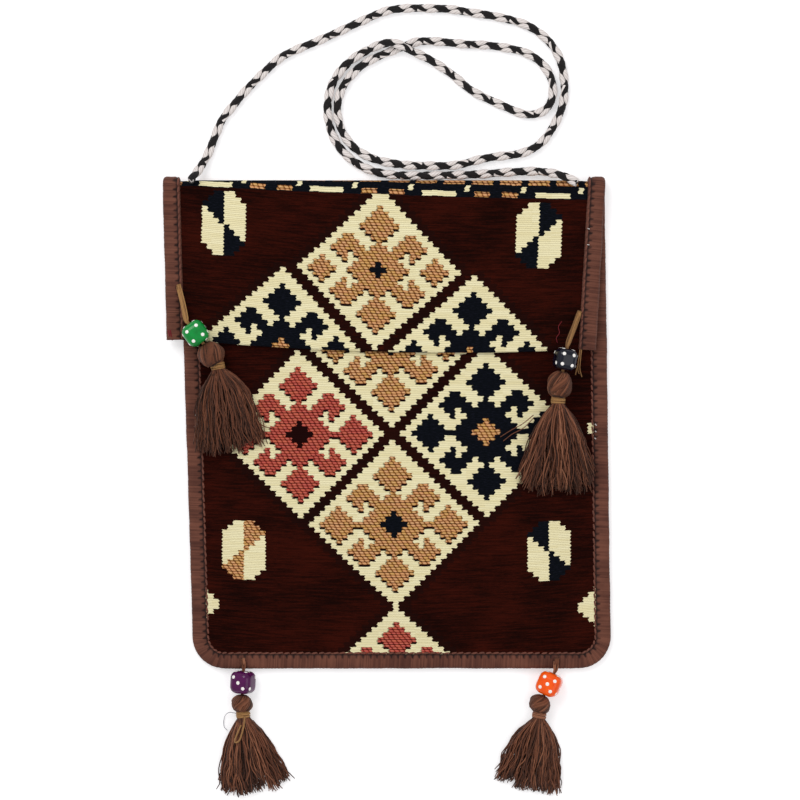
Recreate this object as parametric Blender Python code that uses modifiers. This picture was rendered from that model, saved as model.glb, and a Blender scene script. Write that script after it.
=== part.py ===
"""A small flat woven shoulder bag, lying on its back.

One folded cloth makes the back and the flap, a second cloth makes the front, and a wrapped
binding runs round the edge and over the fold. A cord strap is sewn in at both ends of the fold.
Four tassels hang under beads on thread loops, and each swings about the place where it is sewn.
Units are metres. X runs across the bag, Y from its bottom to its strap, and Z is up.
"""
import math

import bmesh
import bpy
from mathutils import Vector

# Clearances
GAP = 0.0003
BEAD_TO_EDGE = 0.0010

# Cloth, seen in section
CLOTH_THICKNESS = 0.0016
POUCH_SPACE = 0.0050
BINDING_WIDTH = 0.0098
BINDING_THICKNESS = 0.0054
BINDING_ROUNDING = 0.0018
BINDING_OVERHANG = 0.0015
BEND_TO_STRAIGHT = 0.0300

# Outline of the bag, to the outside of the binding
BOTTOM_Y = -0.1377
FOLD_Y = 0.1310
BODY_LEFT_BOTTOM_X = -0.1141
BODY_LEFT_HEM_X = -0.1198
BODY_RIGHT_BOTTOM_X = 0.1201
FOLD_LEFT_X = -0.1310
FOLD_RIGHT_X = 0.1165
FLAP_LEFT_HEM_X = -0.1288
FLAP_RIGHT_HEM_X = 0.1112
HEM_LEFT_Y = 0.0465
HEM_MIDDLE_Y = 0.0398
HEM_RIGHT_Y = 0.0409
CORNER_RADIUS = 0.0180
MOUTH_DROP = 0.0090
CLOTH_COLUMNS = 24

# How far up the cloth is at each of its outermost rows or columns, as a share of its full rise
FRONT_SIDE_RISE = (0.0, 0.0, 0.0, 0.08, 0.40, 0.80)
FRONT_BOTTOM_RISE = (0.0, 0.0, 0.0, 0.0, 0.0, 0.0, 0.08, 0.40, 0.80)
FLAP_SIDE_RISE = (0.0, 0.25, 0.60, 0.88)

# Tassels
LOOP_RADIUS = 0.0014
SOCKET_DEPTH = 0.0030
NECK_RADIUS = 0.0027
NECK_LENGTH = 0.0044
WRAP_THICKNESS = 0.0011
WRAP_LENGTH = 0.0040
WRAP_BULGE = 0.0004
SKIRT_END_HALF_THICKNESS = 0.0016
SKIRT_FULLNESS = 0.0014
THREAD_LOBES = 11
LOBE_DEPTH = 0.10
BEAD_ROUNDING = 0.0038
LOOP_ROOT_IN = 0.0018
BOTTOM_ROOT_IN = 0.0042
SEAT_BEHIND_BEAD = 0.0005
HEAD_BEHIND_BEAD = 0.0008

# Strap cord
CORD_DIAMETER = 0.0050
CORD_POINTS = 78

# Heights that follow from the sizes above
BACK_MID_Z = CLOTH_THICKNESS / 2
FRONT_MID_Z = CLOTH_THICKNESS + POUCH_SPACE + CLOTH_THICKNESS / 2
FRONT_TOP_Z = FRONT_MID_Z + CLOTH_THICKNESS / 2
FRONT_EDGE_MID_Z = BINDING_THICKNESS - GAP - CLOTH_THICKNESS / 2
FLAP_MID_Z = FRONT_TOP_Z + GAP + CLOTH_THICKNESS / 2
BODY_BINDING_Z = BINDING_THICKNESS / 2
FLAP_BINDING_Z = BINDING_THICKNESS + GAP + BINDING_THICKNESS / 2
FLAP_BINDING_TOP_Z = FLAP_BINDING_Z + BINDING_THICKNESS / 2
FLAP_EDGE_MID_Z = FLAP_BINDING_Z
WRAP_OUTER_RADIUS = NECK_RADIUS + GAP + WRAP_THICKNESS

# Each tassel's plan: where its loop is sewn, then its bead, neck and skirt, all measured from the
# corner of the bag that it hangs from
TASSELS = (
    {"name": "green", "edge": "flap_left", "corner": (FLAP_LEFT_HEM_X, HEM_LEFT_Y),
     "root": (0.0, 0.0280), "bead": (0.0162, 0.0039), "lean_degrees": 35.9,
     "neck": (0.0288, -0.0147), "skirt_middle": (0.0328, -0.0360), "skirt_end": (0.0364, -0.0633),
     "bead_side": 0.0130, "head_half_length": 0.0074, "head_half_width": 0.0070,
     "skirt_half_width": 0.0195, "colour": (0.01, 0.30, 0.08)},
    {"name": "blue", "edge": "flap_right", "corner": (FLAP_RIGHT_HEM_X, HEM_RIGHT_Y),
     "root": (0.0, 0.0201), "bead": (-0.0177, -0.0053), "lean_degrees": -11.1,
     "neck": (-0.0213, -0.0283), "skirt_middle": (-0.0216, -0.0529),
     "skirt_end": (-0.0219, -0.0809), "bead_side": 0.0120, "head_half_length": 0.0082,
     "head_half_width": 0.0067, "skirt_half_width": 0.0235, "colour": (0.008, 0.01, 0.03)},
    {"name": "purple", "edge": "bottom", "corner": (BODY_LEFT_BOTTOM_X, BOTTOM_Y),
     "root": (0.0279, BOTTOM_ROOT_IN), "bead": (0.0279, -BEAD_TO_EDGE), "lean_degrees": -2.9,
     "neck": (0.0279, -0.0257), "skirt_middle": (0.0303, -0.0473), "skirt_end": (0.0351, -0.0721),
     "bead_side": 0.0126, "head_half_length": 0.0052, "head_half_width": 0.0056,
     "skirt_half_width": 0.0215, "colour": (0.06, 0.005, 0.10)},
    {"name": "orange", "edge": "bottom", "corner": (BODY_RIGHT_BOTTOM_X, BOTTOM_Y),
     "root": (-0.0308, BOTTOM_ROOT_IN), "bead": (-0.0350, -BEAD_TO_EDGE), "lean_degrees": -24.2,
     "neck": (-0.0404, -0.0262), "skirt_middle": (-0.0431, -0.0463),
     "skirt_end": (-0.0479, -0.0698), "bead_side": 0.0130, "head_half_length": 0.0054,
     "head_half_width": 0.0058, "skirt_half_width": 0.0190, "colour": (0.80, 0.10, 0.01)},
)

# Strap cord, from the left end of the fold round to the right end
CORD_ROUTE = (
    (-0.1152, 0.1352, 0.0132), (-0.1136, 0.1377, 0.0116), (-0.1112, 0.1415, 0.0072),
    (-0.1082, 0.1465, 0.0038), (-0.1051, 0.1530, 0.0028), (-0.1014, 0.1625, 0.0028),
    (-0.0979, 0.1703, 0.0028), (-0.0922, 0.1776, 0.0028), (-0.0851, 0.1861, 0.0028),
    (-0.0766, 0.1947, 0.0028), (-0.0659, 0.2045, 0.0028), (-0.0559, 0.2096, 0.0028),
    (-0.0444, 0.2143, 0.0028), (-0.0323, 0.2196, 0.0028), (-0.0209, 0.2250, 0.0028),
    (-0.0069, 0.2308, 0.0028), (0.0034, 0.2325, 0.0028), (0.0170, 0.2326, 0.0028),
    (0.0299, 0.2321, 0.0028), (0.0419, 0.2301, 0.0028), (0.0539, 0.2283, 0.0028),
    (0.0676, 0.2250, 0.0028), (0.0762, 0.2213, 0.0028), (0.0829, 0.2163, 0.0028),
    (0.0879, 0.2106, 0.0028), (0.0913, 0.2041, 0.0028), (0.0931, 0.1974, 0.0028),
    (0.0939, 0.1907, 0.0028), (0.0939, 0.1842, 0.0028), (0.0927, 0.1778, 0.0028),
    (0.0905, 0.1716, 0.0028), (0.0872, 0.1655, 0.0028), (0.0829, 0.1593, 0.0028),
    (0.0778, 0.1548, 0.0028), (0.0717, 0.1519, 0.0028), (0.0650, 0.1504, 0.0028),
    (0.0582, 0.1497, 0.0028), (0.0515, 0.1488, 0.0028), (0.0448, 0.1474, 0.0028),
    (0.0381, 0.1456, 0.0028), (0.0314, 0.1445, 0.0028), (0.0246, 0.1442, 0.0028),
    (0.0174, 0.1443, 0.0028), (0.0090, 0.1444, 0.0028), (0.0006, 0.1452, 0.0028),
    (-0.0067, 0.1464, 0.0028), (-0.0134, 0.1483, 0.0028), (-0.0193, 0.1511, 0.0028),
    (-0.0244, 0.1548, 0.0028), (-0.0284, 0.1594, 0.0028), (-0.0312, 0.1646, 0.0028),
    (-0.0329, 0.1702, 0.0028), (-0.0335, 0.1758, 0.0028), (-0.0329, 0.1814, 0.0028),
    (-0.0311, 0.1869, 0.0028), (-0.0281, 0.1920, 0.0028), (-0.0244, 0.1964, 0.0028),
    (-0.0199, 0.2004, 0.0028), (-0.0146, 0.2036, 0.0028), (-0.0090, 0.2062, 0.0028),
    (-0.0028, 0.2087, 0.0028), (0.0039, 0.2113, 0.0028), (0.0125, 0.2140, 0.0028),
    (0.0246, 0.2138, 0.0028), (0.0385, 0.2124, 0.0028), (0.0521, 0.2117, 0.0028),
    (0.0657, 0.2095, 0.0028), (0.0728, 0.2073, 0.0028), (0.0790, 0.2037, 0.0028),
    (0.0837, 0.1985, 0.0028), (0.0867, 0.1925, 0.0028), (0.0875, 0.1864, 0.0028),
    (0.0864, 0.1803, 0.0028), (0.0830, 0.1756, 0.0028), (0.0778, 0.1733, 0.0028),
    (0.0722, 0.1731, 0.0028), (0.0669, 0.1746, 0.0028), (0.0605, 0.1775, 0.0028),
    (0.0532, 0.1807, 0.0028), (0.0416, 0.1866, 0.0028), (0.0306, 0.1957, 0.0029),
    (0.0197, 0.2029, 0.0040), (0.0129, 0.2062, 0.0060), (0.0078, 0.2083, 0.0076),
    (0.0031, 0.2108, 0.0083), (-0.0031, 0.2129, 0.0076), (-0.0095, 0.2118, 0.0056),
    (-0.0151, 0.2097, 0.0039), (-0.0202, 0.2071, 0.0030), (-0.0258, 0.2034, 0.0028),
    (-0.0308, 0.1986, 0.0028), (-0.0346, 0.1933, 0.0028), (-0.0372, 0.1877, 0.0028),
    (-0.0385, 0.1820, 0.0028), (-0.0390, 0.1761, 0.0028), (-0.0385, 0.1701, 0.0028),
    (-0.0370, 0.1639, 0.0028), (-0.0343, 0.1579, 0.0028), (-0.0305, 0.1525, 0.0028),
    (-0.0255, 0.1477, 0.0028), (-0.0196, 0.1439, 0.0028), (-0.0129, 0.1412, 0.0028),
    (-0.0059, 0.1396, 0.0028), (0.0017, 0.1389, 0.0028), (0.0092, 0.1387, 0.0028),
    (0.0207, 0.1388, 0.0028), (0.0358, 0.1391, 0.0028), (0.0489, 0.1397, 0.0028),
    (0.0625, 0.1407, 0.0028), (0.0762, 0.1412, 0.0033), (0.0840, 0.1404, 0.0060),
    (0.0909, 0.1387, 0.0098), (0.0962, 0.1365, 0.0121), (0.1004, 0.1341, 0.0132),
)

# Colours, as linear light
GROUND_COLOUR = (0.020, 0.003, 0.002)
BINDING_COLOUR = (0.17, 0.06, 0.04)
THREAD_COLOUR = (0.13, 0.055, 0.025)
CORD_COLOUR = (0.80, 0.76, 0.72)

PARTS = bpy.data.collections.new("festival_bag")
GUIDES = bpy.data.collections.new("cutters_and_guides")


def clear_scene():
    """Remove the objects of the start-up file and add the two collections."""
    for found in list(bpy.data.objects):
        bpy.data.objects.remove(found, do_unlink=True)
    for collection in (PARTS, GUIDES):
        bpy.context.scene.collection.children.link(collection)


def make_material(name, colour, roughness):
    material = bpy.data.materials.new(name)
    material.use_nodes = True
    shader = material.node_tree.nodes["Principled BSDF"]
    shader.inputs["Base Color"].default_value = (*colour, 1.0)
    shader.inputs["Roughness"].default_value = roughness
    shader.inputs["Metallic"].default_value = 0.0
    return material


def add_part(name, data, material, parent=None):
    """Link a sub-part to the bag's collection, under its pivot if it has one."""
    part = bpy.data.objects.new(name, data)
    PARTS.objects.link(part)
    part.data.materials.append(material)
    part.parent = parent
    return part


def add_guide(name, data, parent=None):
    """Link a cutter or a profile that isn't a piece of the bag."""
    guide = bpy.data.objects.new(name, data)
    GUIDES.objects.link(guide)
    guide.hide_render = True
    guide.display_type = "WIRE"
    guide.parent = parent
    return guide


def mesh_from(bm, name):
    bmesh.ops.recalc_face_normals(bm, faces=bm.faces)
    mesh = bpy.data.meshes.new(name)
    bm.to_mesh(mesh)
    bm.free()
    mesh.shade_smooth()
    mesh.set_sharp_from_angle(angle=math.radians(40))
    return mesh


def smooth_step(value):
    clamped = min(1.0, max(0.0, value))
    return clamped * clamped * (3.0 - 2.0 * clamped)


def between(y, y_start, x_start, y_end, x_end):
    """The x at height y on the straight line through two outline points."""
    return x_start + (x_end - x_start) * (y - y_start) / (y_end - y_start)


def body_left(y):
    """Outer edge of the bag's left side, which flares above the hem to meet the fold's end."""
    above_hem = max(0.0, (y - HEM_LEFT_Y) / (FOLD_Y - HEM_LEFT_Y))
    straight = between(y, BOTTOM_Y, BODY_LEFT_BOTTOM_X, HEM_LEFT_Y, BODY_LEFT_HEM_X)
    straight_at_fold = between(FOLD_Y, BOTTOM_Y, BODY_LEFT_BOTTOM_X, HEM_LEFT_Y, BODY_LEFT_HEM_X)
    return straight + (FOLD_LEFT_X - straight_at_fold) * above_hem ** 2


def body_right(y):
    return between(y, BOTTOM_Y, BODY_RIGHT_BOTTOM_X, FOLD_Y, FOLD_RIGHT_X)


def flap_left(y):
    return between(y, HEM_LEFT_Y, FLAP_LEFT_HEM_X, FOLD_Y, FOLD_LEFT_X)


def flap_right(y):
    return between(y, HEM_RIGHT_Y, FLAP_RIGHT_HEM_X, FOLD_Y, FOLD_RIGHT_X)


def slope_factor(edge, y):
    """Length along a leaning edge for each unit of y."""
    step = 0.001
    lean = (edge(y + step) - edge(y - step)) / (2 * step)
    return math.hypot(1.0, lean)


def binding_inset(edge, y):
    """Distance in x from an outer edge to the middle of the binding."""
    return BINDING_WIDTH / 2 * slope_factor(edge, y)


def cloth_inset(edge, y):
    """Distance in x from an outer edge to the cloth inside the binding."""
    return (BINDING_WIDTH + GAP) * slope_factor(edge, y)


def body_limits(y):
    """Left and right ends of the body's cloth at a height y, inside its rounded corners."""
    corner_y = BOTTOM_Y + CORNER_RADIUS
    inner_radius = CORNER_RADIUS - BINDING_WIDTH - GAP
    if y >= corner_y:
        return body_left(y) + cloth_inset(body_left, y), body_right(y) - cloth_inset(body_right, y)
    reach = math.sqrt(max(0.0, inner_radius ** 2 - (corner_y - y) ** 2))
    left_centre = body_left(corner_y) + CORNER_RADIUS
    right_centre = body_right(corner_y) - CORNER_RADIUS
    return left_centre - reach, right_centre + reach


def body_row_heights(top_y, straight_rows):
    """Heights of the cloth's rows, close together round the bottom corners and near the bottom."""
    corner_rows = 5
    corner_y = BOTTOM_Y + CORNER_RADIUS
    inner_radius = CORNER_RADIUS - BINDING_WIDTH - GAP
    heights = [corner_y - inner_radius * math.cos(math.radians(90 * k / corner_rows))
               for k in range(corner_rows)]
    heights += [corner_y + (top_y - corner_y) * (k / straight_rows) ** 1.5
                for k in range(straight_rows + 1)]
    return heights


def column_shares(columns):
    """Shares of the width, close together at both sides, where the cloth bends down."""
    crowding = 0.75
    return [k / columns - crowding / (2 * math.pi) * math.sin(2 * math.pi * k / columns)
            for k in range(columns + 1)]


def grid_mesh(name, rows):
    """A sheet whose points are given row by row."""
    row_count = len(rows)
    column_count = len(rows[0])
    bm = bmesh.new()
    bmesh.ops.create_grid(bm, x_segments=column_count - 1, y_segments=row_count - 1, size=1.0)
    for vertex in bm.verts:
        column = round((vertex.co.x + 1.0) / 2.0 * (column_count - 1))
        row = round((vertex.co.y + 1.0) / 2.0 * (row_count - 1))
        vertex.co = rows[row][column]
    return mesh_from(bm, name)


def thicken_cloth(part):
    solidify = part.modifiers.new("cloth thickness", "SOLIDIFY")
    solidify.thickness = CLOTH_THICKNESS
    solidify.offset = 0.0
    solidify.use_even_offset = True


def rise_at(steps, index):
    """Share of the cloth's full rise at a row or column, counted from the edge."""
    return steps[index] if index < len(steps) else 1.0


def front_height(row, column, columns):
    """Middle of the front cloth: low along its bound edges and flat over the pouch."""
    rise = rise_at(FRONT_SIDE_RISE, min(column, columns - column)) * rise_at(FRONT_BOTTOM_RISE, row)
    return FRONT_EDGE_MID_Z + (FRONT_MID_Z - FRONT_EDGE_MID_Z) * rise


def flap_height(column, columns):
    """Middle of the flap, which comes down a little to its binding at both sides."""
    rise = rise_at(FLAP_SIDE_RISE, min(column, columns - column))
    return FLAP_EDGE_MID_Z + (FLAP_MID_Z - FLAP_EDGE_MID_Z) * rise


def hem_height(share):
    """Height y of the flap's hem at a share of its width: a curve through its three heights."""
    left, middle, right = HEM_LEFT_Y, HEM_MIDDLE_Y, HEM_RIGHT_Y
    return (left * (1 - share) * (1 - 2 * share) + middle * 4 * share * (1 - share)
            + right * share * (2 * share - 1))


def make_front_cloth(material):
    columns = CLOTH_COLUMNS
    shares = column_shares(columns)
    rows = []
    for row_index, y in enumerate(body_row_heights(FOLD_Y - MOUTH_DROP, 20)):
        left, right = body_limits(y)
        rows.append([Vector((left + (right - left) * share, y,
                             front_height(row_index, column, columns)))
                     for column, share in enumerate(shares)])
    part = add_part("front_cloth", grid_mesh("front_cloth", rows), material)
    thicken_cloth(part)


def make_back_and_flap_cloth(material):
    columns = CLOTH_COLUMNS
    shares = column_shares(columns)
    rows = []
    for y in body_row_heights(FOLD_Y, 12):
        left, right = body_limits(y)
        rows.append([Vector((left + (right - left) * share, y, BACK_MID_Z)) for share in shares])

    fold_steps = 9
    left = FOLD_LEFT_X + cloth_inset(flap_left, FOLD_Y)
    right = FOLD_RIGHT_X - cloth_inset(flap_right, FOLD_Y)
    for step in range(1, fold_steps):
        turn = math.pi * step / fold_steps
        row = []
        for column, share in enumerate(shares):
            radius = (flap_height(column, columns) - BACK_MID_Z) / 2
            row.append(Vector((left + (right - left) * share, FOLD_Y + radius * math.sin(turn),
                               BACK_MID_Z + radius * (1 - math.cos(turn)))))
        rows.append(row)

    flap_rows = 8
    for step in range(flap_rows + 1):
        drop = step / flap_rows
        row = []
        for column, share in enumerate(shares):
            y = FOLD_Y + (hem_height(share) - FOLD_Y) * drop
            left = flap_left(y) + cloth_inset(flap_left, y)
            right = flap_right(y) - cloth_inset(flap_right, y)
            row.append(Vector((left + (right - left) * share, y, flap_height(column, columns))))
        rows.append(row)
    part = add_part("back_and_flap_cloth", grid_mesh("back_and_flap_cloth", rows), material)
    thicken_cloth(part)


def fold_turn(x, inward, to_flap):
    """The binding's half turn over the fold, from the body up to the flap or the other way."""
    steps = 8
    radius = (FLAP_BINDING_Z - BODY_BINDING_Z) / 2
    centre_y = FOLD_Y + BINDING_OVERHANG
    centre_z = (FLAP_BINDING_Z + BODY_BINDING_Z) / 2
    stations = []
    for step in range(steps + 1):
        turn = math.pi * step / steps - math.pi / 2
        place = Vector((x, centre_y + radius * math.cos(turn), centre_z + radius * math.sin(turn)))
        stations.append((place, inward))
    return stations if to_flap else stations[::-1]


def corner_turn(centre_x, centre_y, start_degrees, end_degrees):
    steps = 6
    radius = CORNER_RADIUS - BINDING_WIDTH / 2
    stations = []
    for step in range(steps + 1):
        angle = math.radians(start_degrees + (end_degrees - start_degrees) * step / steps)
        outward = Vector((math.cos(angle), math.sin(angle), 0.0))
        place = Vector((centre_x, centre_y, BODY_BINDING_Z)) + outward * radius
        stations.append((place, -outward))
    return stations


def side_run(edge, inward, start_y, end_y, height, steps):
    """Stations along one straight or flaring side, at the middle of the binding."""
    stations = []
    for step in range(steps + 1):
        y = start_y + (end_y - start_y) * step / steps
        x = edge(y) + inward.x * binding_inset(edge, y)
        stations.append((Vector((x, y, height)), inward))
    return stations


def binding_stations():
    """From the flap's left corner over the fold, round the body and back to its right corner.

    Each station is a place at the middle of the binding and the direction towards the cloth.
    """
    corner_y = BOTTOM_Y + CORNER_RADIUS
    margin = 0.004
    from_left = Vector((1.0, 0.0, 0.0))
    from_right = -from_left
    left_fold_x = FOLD_LEFT_X + BINDING_WIDTH / 2
    right_fold_x = FOLD_RIGHT_X - BINDING_WIDTH / 2
    run = side_run(flap_left, from_left, HEM_LEFT_Y, FOLD_Y - margin, FLAP_BINDING_Z, 3)
    run += fold_turn(left_fold_x, from_left, to_flap=False)
    run += side_run(body_left, from_left, FOLD_Y - margin, HEM_LEFT_Y, BODY_BINDING_Z, 7)
    run += side_run(body_left, from_left, HEM_LEFT_Y - BEND_TO_STRAIGHT, corner_y + margin,
                    BODY_BINDING_Z, 2)
    run += corner_turn(body_left(corner_y) + CORNER_RADIUS, corner_y, 180, 270)
    run += corner_turn(body_right(corner_y) - CORNER_RADIUS, corner_y, 270, 360)
    run += side_run(body_right, from_right, corner_y + margin, FOLD_Y - margin, BODY_BINDING_Z, 3)
    run += fold_turn(right_fold_x, from_right, to_flap=True)
    run += side_run(flap_right, from_right, FOLD_Y - margin, HEM_RIGHT_Y, FLAP_BINDING_Z, 3)
    return run


def poly_curve(name, points):
    curve = bpy.data.curves.new(name, "CURVE")
    curve.dimensions = "3D"
    spline = curve.splines.new("POLY")
    spline.points.add(len(points) - 1)
    for spline_point, place in zip(spline.points, points):
        spline_point.co = (*place, 1.0)
    spline.use_smooth = True
    return curve


def rounded_section(width, height, rounding, corner_steps=3):
    """A closed rectangle with rounded corners, as points in its own plane."""
    points = []
    for corner, (side_x, side_y) in enumerate(((1, 1), (-1, 1), (-1, -1), (1, -1))):
        centre_x = side_x * (width / 2 - rounding)
        centre_y = side_y * (height / 2 - rounding)
        for step in range(corner_steps + 1):
            angle = math.radians(90 * corner + 90 * step / corner_steps)
            points.append((centre_x + rounding * math.cos(angle),
                           centre_y + rounding * math.sin(angle)))
    return points


def loft_mesh(name, rings):
    """A closed solid through rings of points, with a flat face at each end."""
    bm = bmesh.new()
    placed = [[bm.verts.new(place) for place in ring] for ring in rings]
    for ring, following in zip(placed, placed[1:]):
        for index in range(len(ring)):
            after = (index + 1) % len(ring)
            bm.faces.new((ring[index], ring[after], following[after], following[index]))
    bm.faces.new(placed[0])
    bm.faces.new(placed[-1])
    return mesh_from(bm, name)


def make_edge_binding(material):
    section = rounded_section(BINDING_WIDTH, BINDING_THICKNESS, BINDING_ROUNDING)
    stations = binding_stations()
    places = [place for place, inward in stations]
    rings = []
    for index, (place, inward) in enumerate(stations):
        ahead = places[min(index + 1, len(places) - 1)] - places[max(index - 1, 0)]
        face_out = ahead.cross(inward).normalized()
        across = face_out.cross(ahead).normalized()
        rings.append([place + across * x + face_out * y for x, y in section])
    add_part("edge_binding", loft_mesh("edge_binding", rings), material)


def smooth_route(points, count):
    """Evenly spaced points on a smooth curve through the route's own points."""
    dense = []
    padded = [2 * points[0] - points[1], *points, 2 * points[-1] - points[-2]]
    steps = 12
    for before, start, end, after in zip(padded, padded[1:], padded[2:], padded[3:]):
        for step in range(steps):
            t = step / steps
            dense.append(0.5 * (2 * start + (end - before) * t
                                + (2 * before - 5 * start + 4 * end - after) * t ** 2
                                + (3 * start - before - 3 * end + after) * t ** 3))
    dense.append(points[-1])
    travelled = [0.0]
    for start, end in zip(dense, dense[1:]):
        travelled.append(travelled[-1] + (end - start).length)
    even = []
    segment = 0
    for index in range(count):
        target = travelled[-1] * index / (count - 1)
        while segment < len(dense) - 2 and travelled[segment + 1] < target:
            segment += 1
        span = travelled[segment + 1] - travelled[segment]
        share = (target - travelled[segment]) / span if span > 0 else 0.0
        even.append(dense[segment].lerp(dense[segment + 1], min(1.0, share)))
    return even


def make_tube(name, points, radius, resolution, material, parent=None):
    curve = poly_curve(name, points)
    curve.bevel_depth = radius
    curve.bevel_resolution = resolution
    curve.use_fill_caps = True
    return add_part(name, curve, material, parent)


def make_strap_cord(material):
    route = [Vector(point) for point in CORD_ROUTE]
    points = smooth_route(route, CORD_POINTS)
    make_tube("strap_cord", points, CORD_DIAMETER / 2, 2, material)


def tassel_layout(tassel):
    """Places of a tassel's loop, bead and head, in the bag's frame."""
    side = tassel["bead_side"]
    lean = math.radians(tassel["lean_degrees"])
    flat = Vector((math.sin(lean), -math.cos(lean), 0.0))
    on_flap = tassel["edge"] != "bottom"
    base_z = FRONT_TOP_Z if on_flap else 0.0
    corner = Vector((*tassel["corner"], 0.0))
    root = corner + Vector((*tassel["root"], 0.0))
    bead = corner + Vector((*tassel["bead"], 0.0))
    if on_flap:
        y = root.y
        if tassel["edge"] == "flap_left":
            root.x = flap_left(y) + cloth_inset(flap_left, y) + LOOP_ROOT_IN
        else:
            root.x = flap_right(y) - cloth_inset(flap_right, y) - LOOP_ROOT_IN
        root.z = FLAP_EDGE_MID_Z + CLOTH_THICKNESS / 2 + 2 * GAP + LOOP_RADIUS
        bead.z = FLAP_BINDING_TOP_Z + GAP + side / 2
    else:
        root.z = BINDING_THICKNESS + GAP + LOOP_RADIUS
        rounding = bead_rounding(side)
        bead.y -= (side / 2 - rounding) * (math.cos(lean) + abs(math.sin(lean))) + rounding
        bead.z = max(root.z, GAP + side / 2)
    head = bead + flat * (side / 2 + HEAD_BEHIND_BEAD + tassel["head_half_length"])
    head.z = base_z + GAP + tassel["head_half_width"]
    layout = {"root": root, "bead": bead, "head": head, "direction": flat, "base_z": base_z}
    for place in ("neck", "skirt_middle", "skirt_end"):
        layout[place] = corner + Vector((*tassel[place], 0.0))
    layout["neck"].z = base_z + GAP + WRAP_OUTER_RADIUS
    return layout


def bead_rounding(side):
    """Radius of a bead's edges, kept below half its side."""
    return min(BEAD_ROUNDING, side * 0.45)


def make_pivot(tassel, layout):
    """An empty on the axis about which the tassel swings."""
    pivot = bpy.data.objects.new(tassel["name"] + "_tassel_pivot", None)
    PARTS.objects.link(pivot)
    pivot.location = layout["root"]
    pivot.empty_display_size = 0.01
    return pivot


def socket_line(tassel, layout):
    """Where the loop enters the head: on the head's top, aimed at its middle."""
    leave = bead_exit(tassel, layout)
    aim = (layout["head"] - leave).normalized()
    top = layout["head"] - aim * tassel["head_half_length"]
    return top, aim


def bead_exit(tassel, layout):
    reach = tassel["bead_side"] / 2 + SEAT_BEHIND_BEAD
    return layout["bead"] + layout["direction"] * reach


def make_loop(tassel, layout, pivot, material):
    """The doubled thread, from its stitch through the bead and into the tassel's head."""
    top, aim = socket_line(tassel, layout)
    leave = bead_exit(tassel, layout)
    enter = layout["bead"] * 2 - leave
    before = enter - layout["direction"] * LOOP_RADIUS * 2
    route = [layout["root"], before, enter]
    points = smooth_route(route, 8)
    points += [leave, top + aim * (SOCKET_DEPTH - GAP)]
    local = [point - layout["root"] for point in points]
    make_tube(tassel["name"] + "_tassel_loop", local, LOOP_RADIUS, 2, material, pivot)


def cylinder_mesh(name, radius, length):
    """A round cutter along its own X axis."""
    bm = bmesh.new()
    bmesh.ops.create_cone(bm, cap_ends=True, segments=24, radius1=radius, radius2=radius,
                          depth=length)
    bmesh.ops.rotate(bm, verts=bm.verts, cent=(0, 0, 0),
                     matrix=Vector((0, 0, 1)).rotation_difference(Vector((1, 0, 0))).to_matrix())
    return mesh_from(bm, name)


def cut_with(part, cutter):
    cut = part.modifiers.new("hole", "BOOLEAN")
    cut.operation = "DIFFERENCE"
    cut.solver = "EXACT"
    cut.object = cutter


def make_bead(tassel, layout, pivot, material):
    side = tassel["bead_side"]
    name = tassel["name"] + "_bead"
    bm = bmesh.new()
    bmesh.ops.create_cube(bm, size=side)
    bead = add_part(name, mesh_from(bm, name), material, pivot)
    bead.location = layout["bead"] - layout["root"]
    bead.rotation_euler.z = math.atan2(layout["direction"].y, layout["direction"].x)
    rounding = bead.modifiers.new("rounded edges", "BEVEL")
    rounding.width = bead_rounding(side)
    rounding.segments = 4
    rounding.limit_method = "NONE"
    hole = add_guide(name + "_hole", cylinder_mesh(name + "_hole", LOOP_RADIUS + GAP, side * 2),
                     pivot)
    hole.location = bead.location
    hole.rotation_euler = bead.rotation_euler
    cut_with(bead, hole)


def bundle_sections(tassel, layout):
    """Centre, direction, half width and half thickness of each section, from head to fringe."""
    top, aim = socket_line(tassel, layout)
    head = layout["head"]
    base = layout["base_z"] + GAP
    half_length = tassel["head_half_length"]
    half_width = tassel["head_half_width"]
    flat_aim = Vector((aim.x, aim.y, 0.0)).normalized()
    neck = layout["neck"]
    middle = layout["skirt_middle"]
    end = layout["skirt_end"]
    neck_direction = Vector((middle.x - neck.x, middle.y - neck.y, 0.0)).normalized()

    to_neck = Vector((neck.x - head.x, neck.y - head.y, 0.0)).normalized()

    sections = []
    for degrees in (14, 34, 56, 78, 100, 122):
        angle = math.radians(degrees)
        turned = smooth_step((degrees - 34) / 88)
        direction = flat_aim.lerp(neck_direction, turned).normalized()
        axis = flat_aim if degrees < 90 else to_neck
        centre = head - axis * half_length * math.cos(angle)
        radius = half_width * math.sin(angle)
        sections.append((centre, direction, radius, radius, 0.0))
    for side in (-1, 1):
        centre = neck + neck_direction * side * NECK_LENGTH / 2
        sections.append((centre, neck_direction, NECK_RADIUS, NECK_RADIUS, 0.0))

    start = neck + neck_direction * NECK_LENGTH / 2
    steps = 9
    for step in range(1, steps + 1):
        share = step / steps
        centre = start.lerp(middle, share).lerp(middle.lerp(end, share), share)
        thickness = NECK_RADIUS + (SKIRT_END_HALF_THICKNESS - NECK_RADIUS) * share
        thickness += SKIRT_FULLNESS * math.sin(math.pi * share)
        droop = WRAP_OUTER_RADIUS - NECK_RADIUS
        centre.z = base + thickness + droop * (1 - smooth_step(share * 3))
        ahead = (middle - start).lerp(end - middle, share)
        direction = Vector((ahead.x, ahead.y, 0.0)).normalized()
        spread = math.sin(share * math.pi / 2) ** 0.8
        width = NECK_RADIUS + (tassel["skirt_half_width"] - NECK_RADIUS) * spread
        sections.append((centre, direction, width, thickness, LOBE_DEPTH * smooth_step(share * 2)))
    return sections


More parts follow.
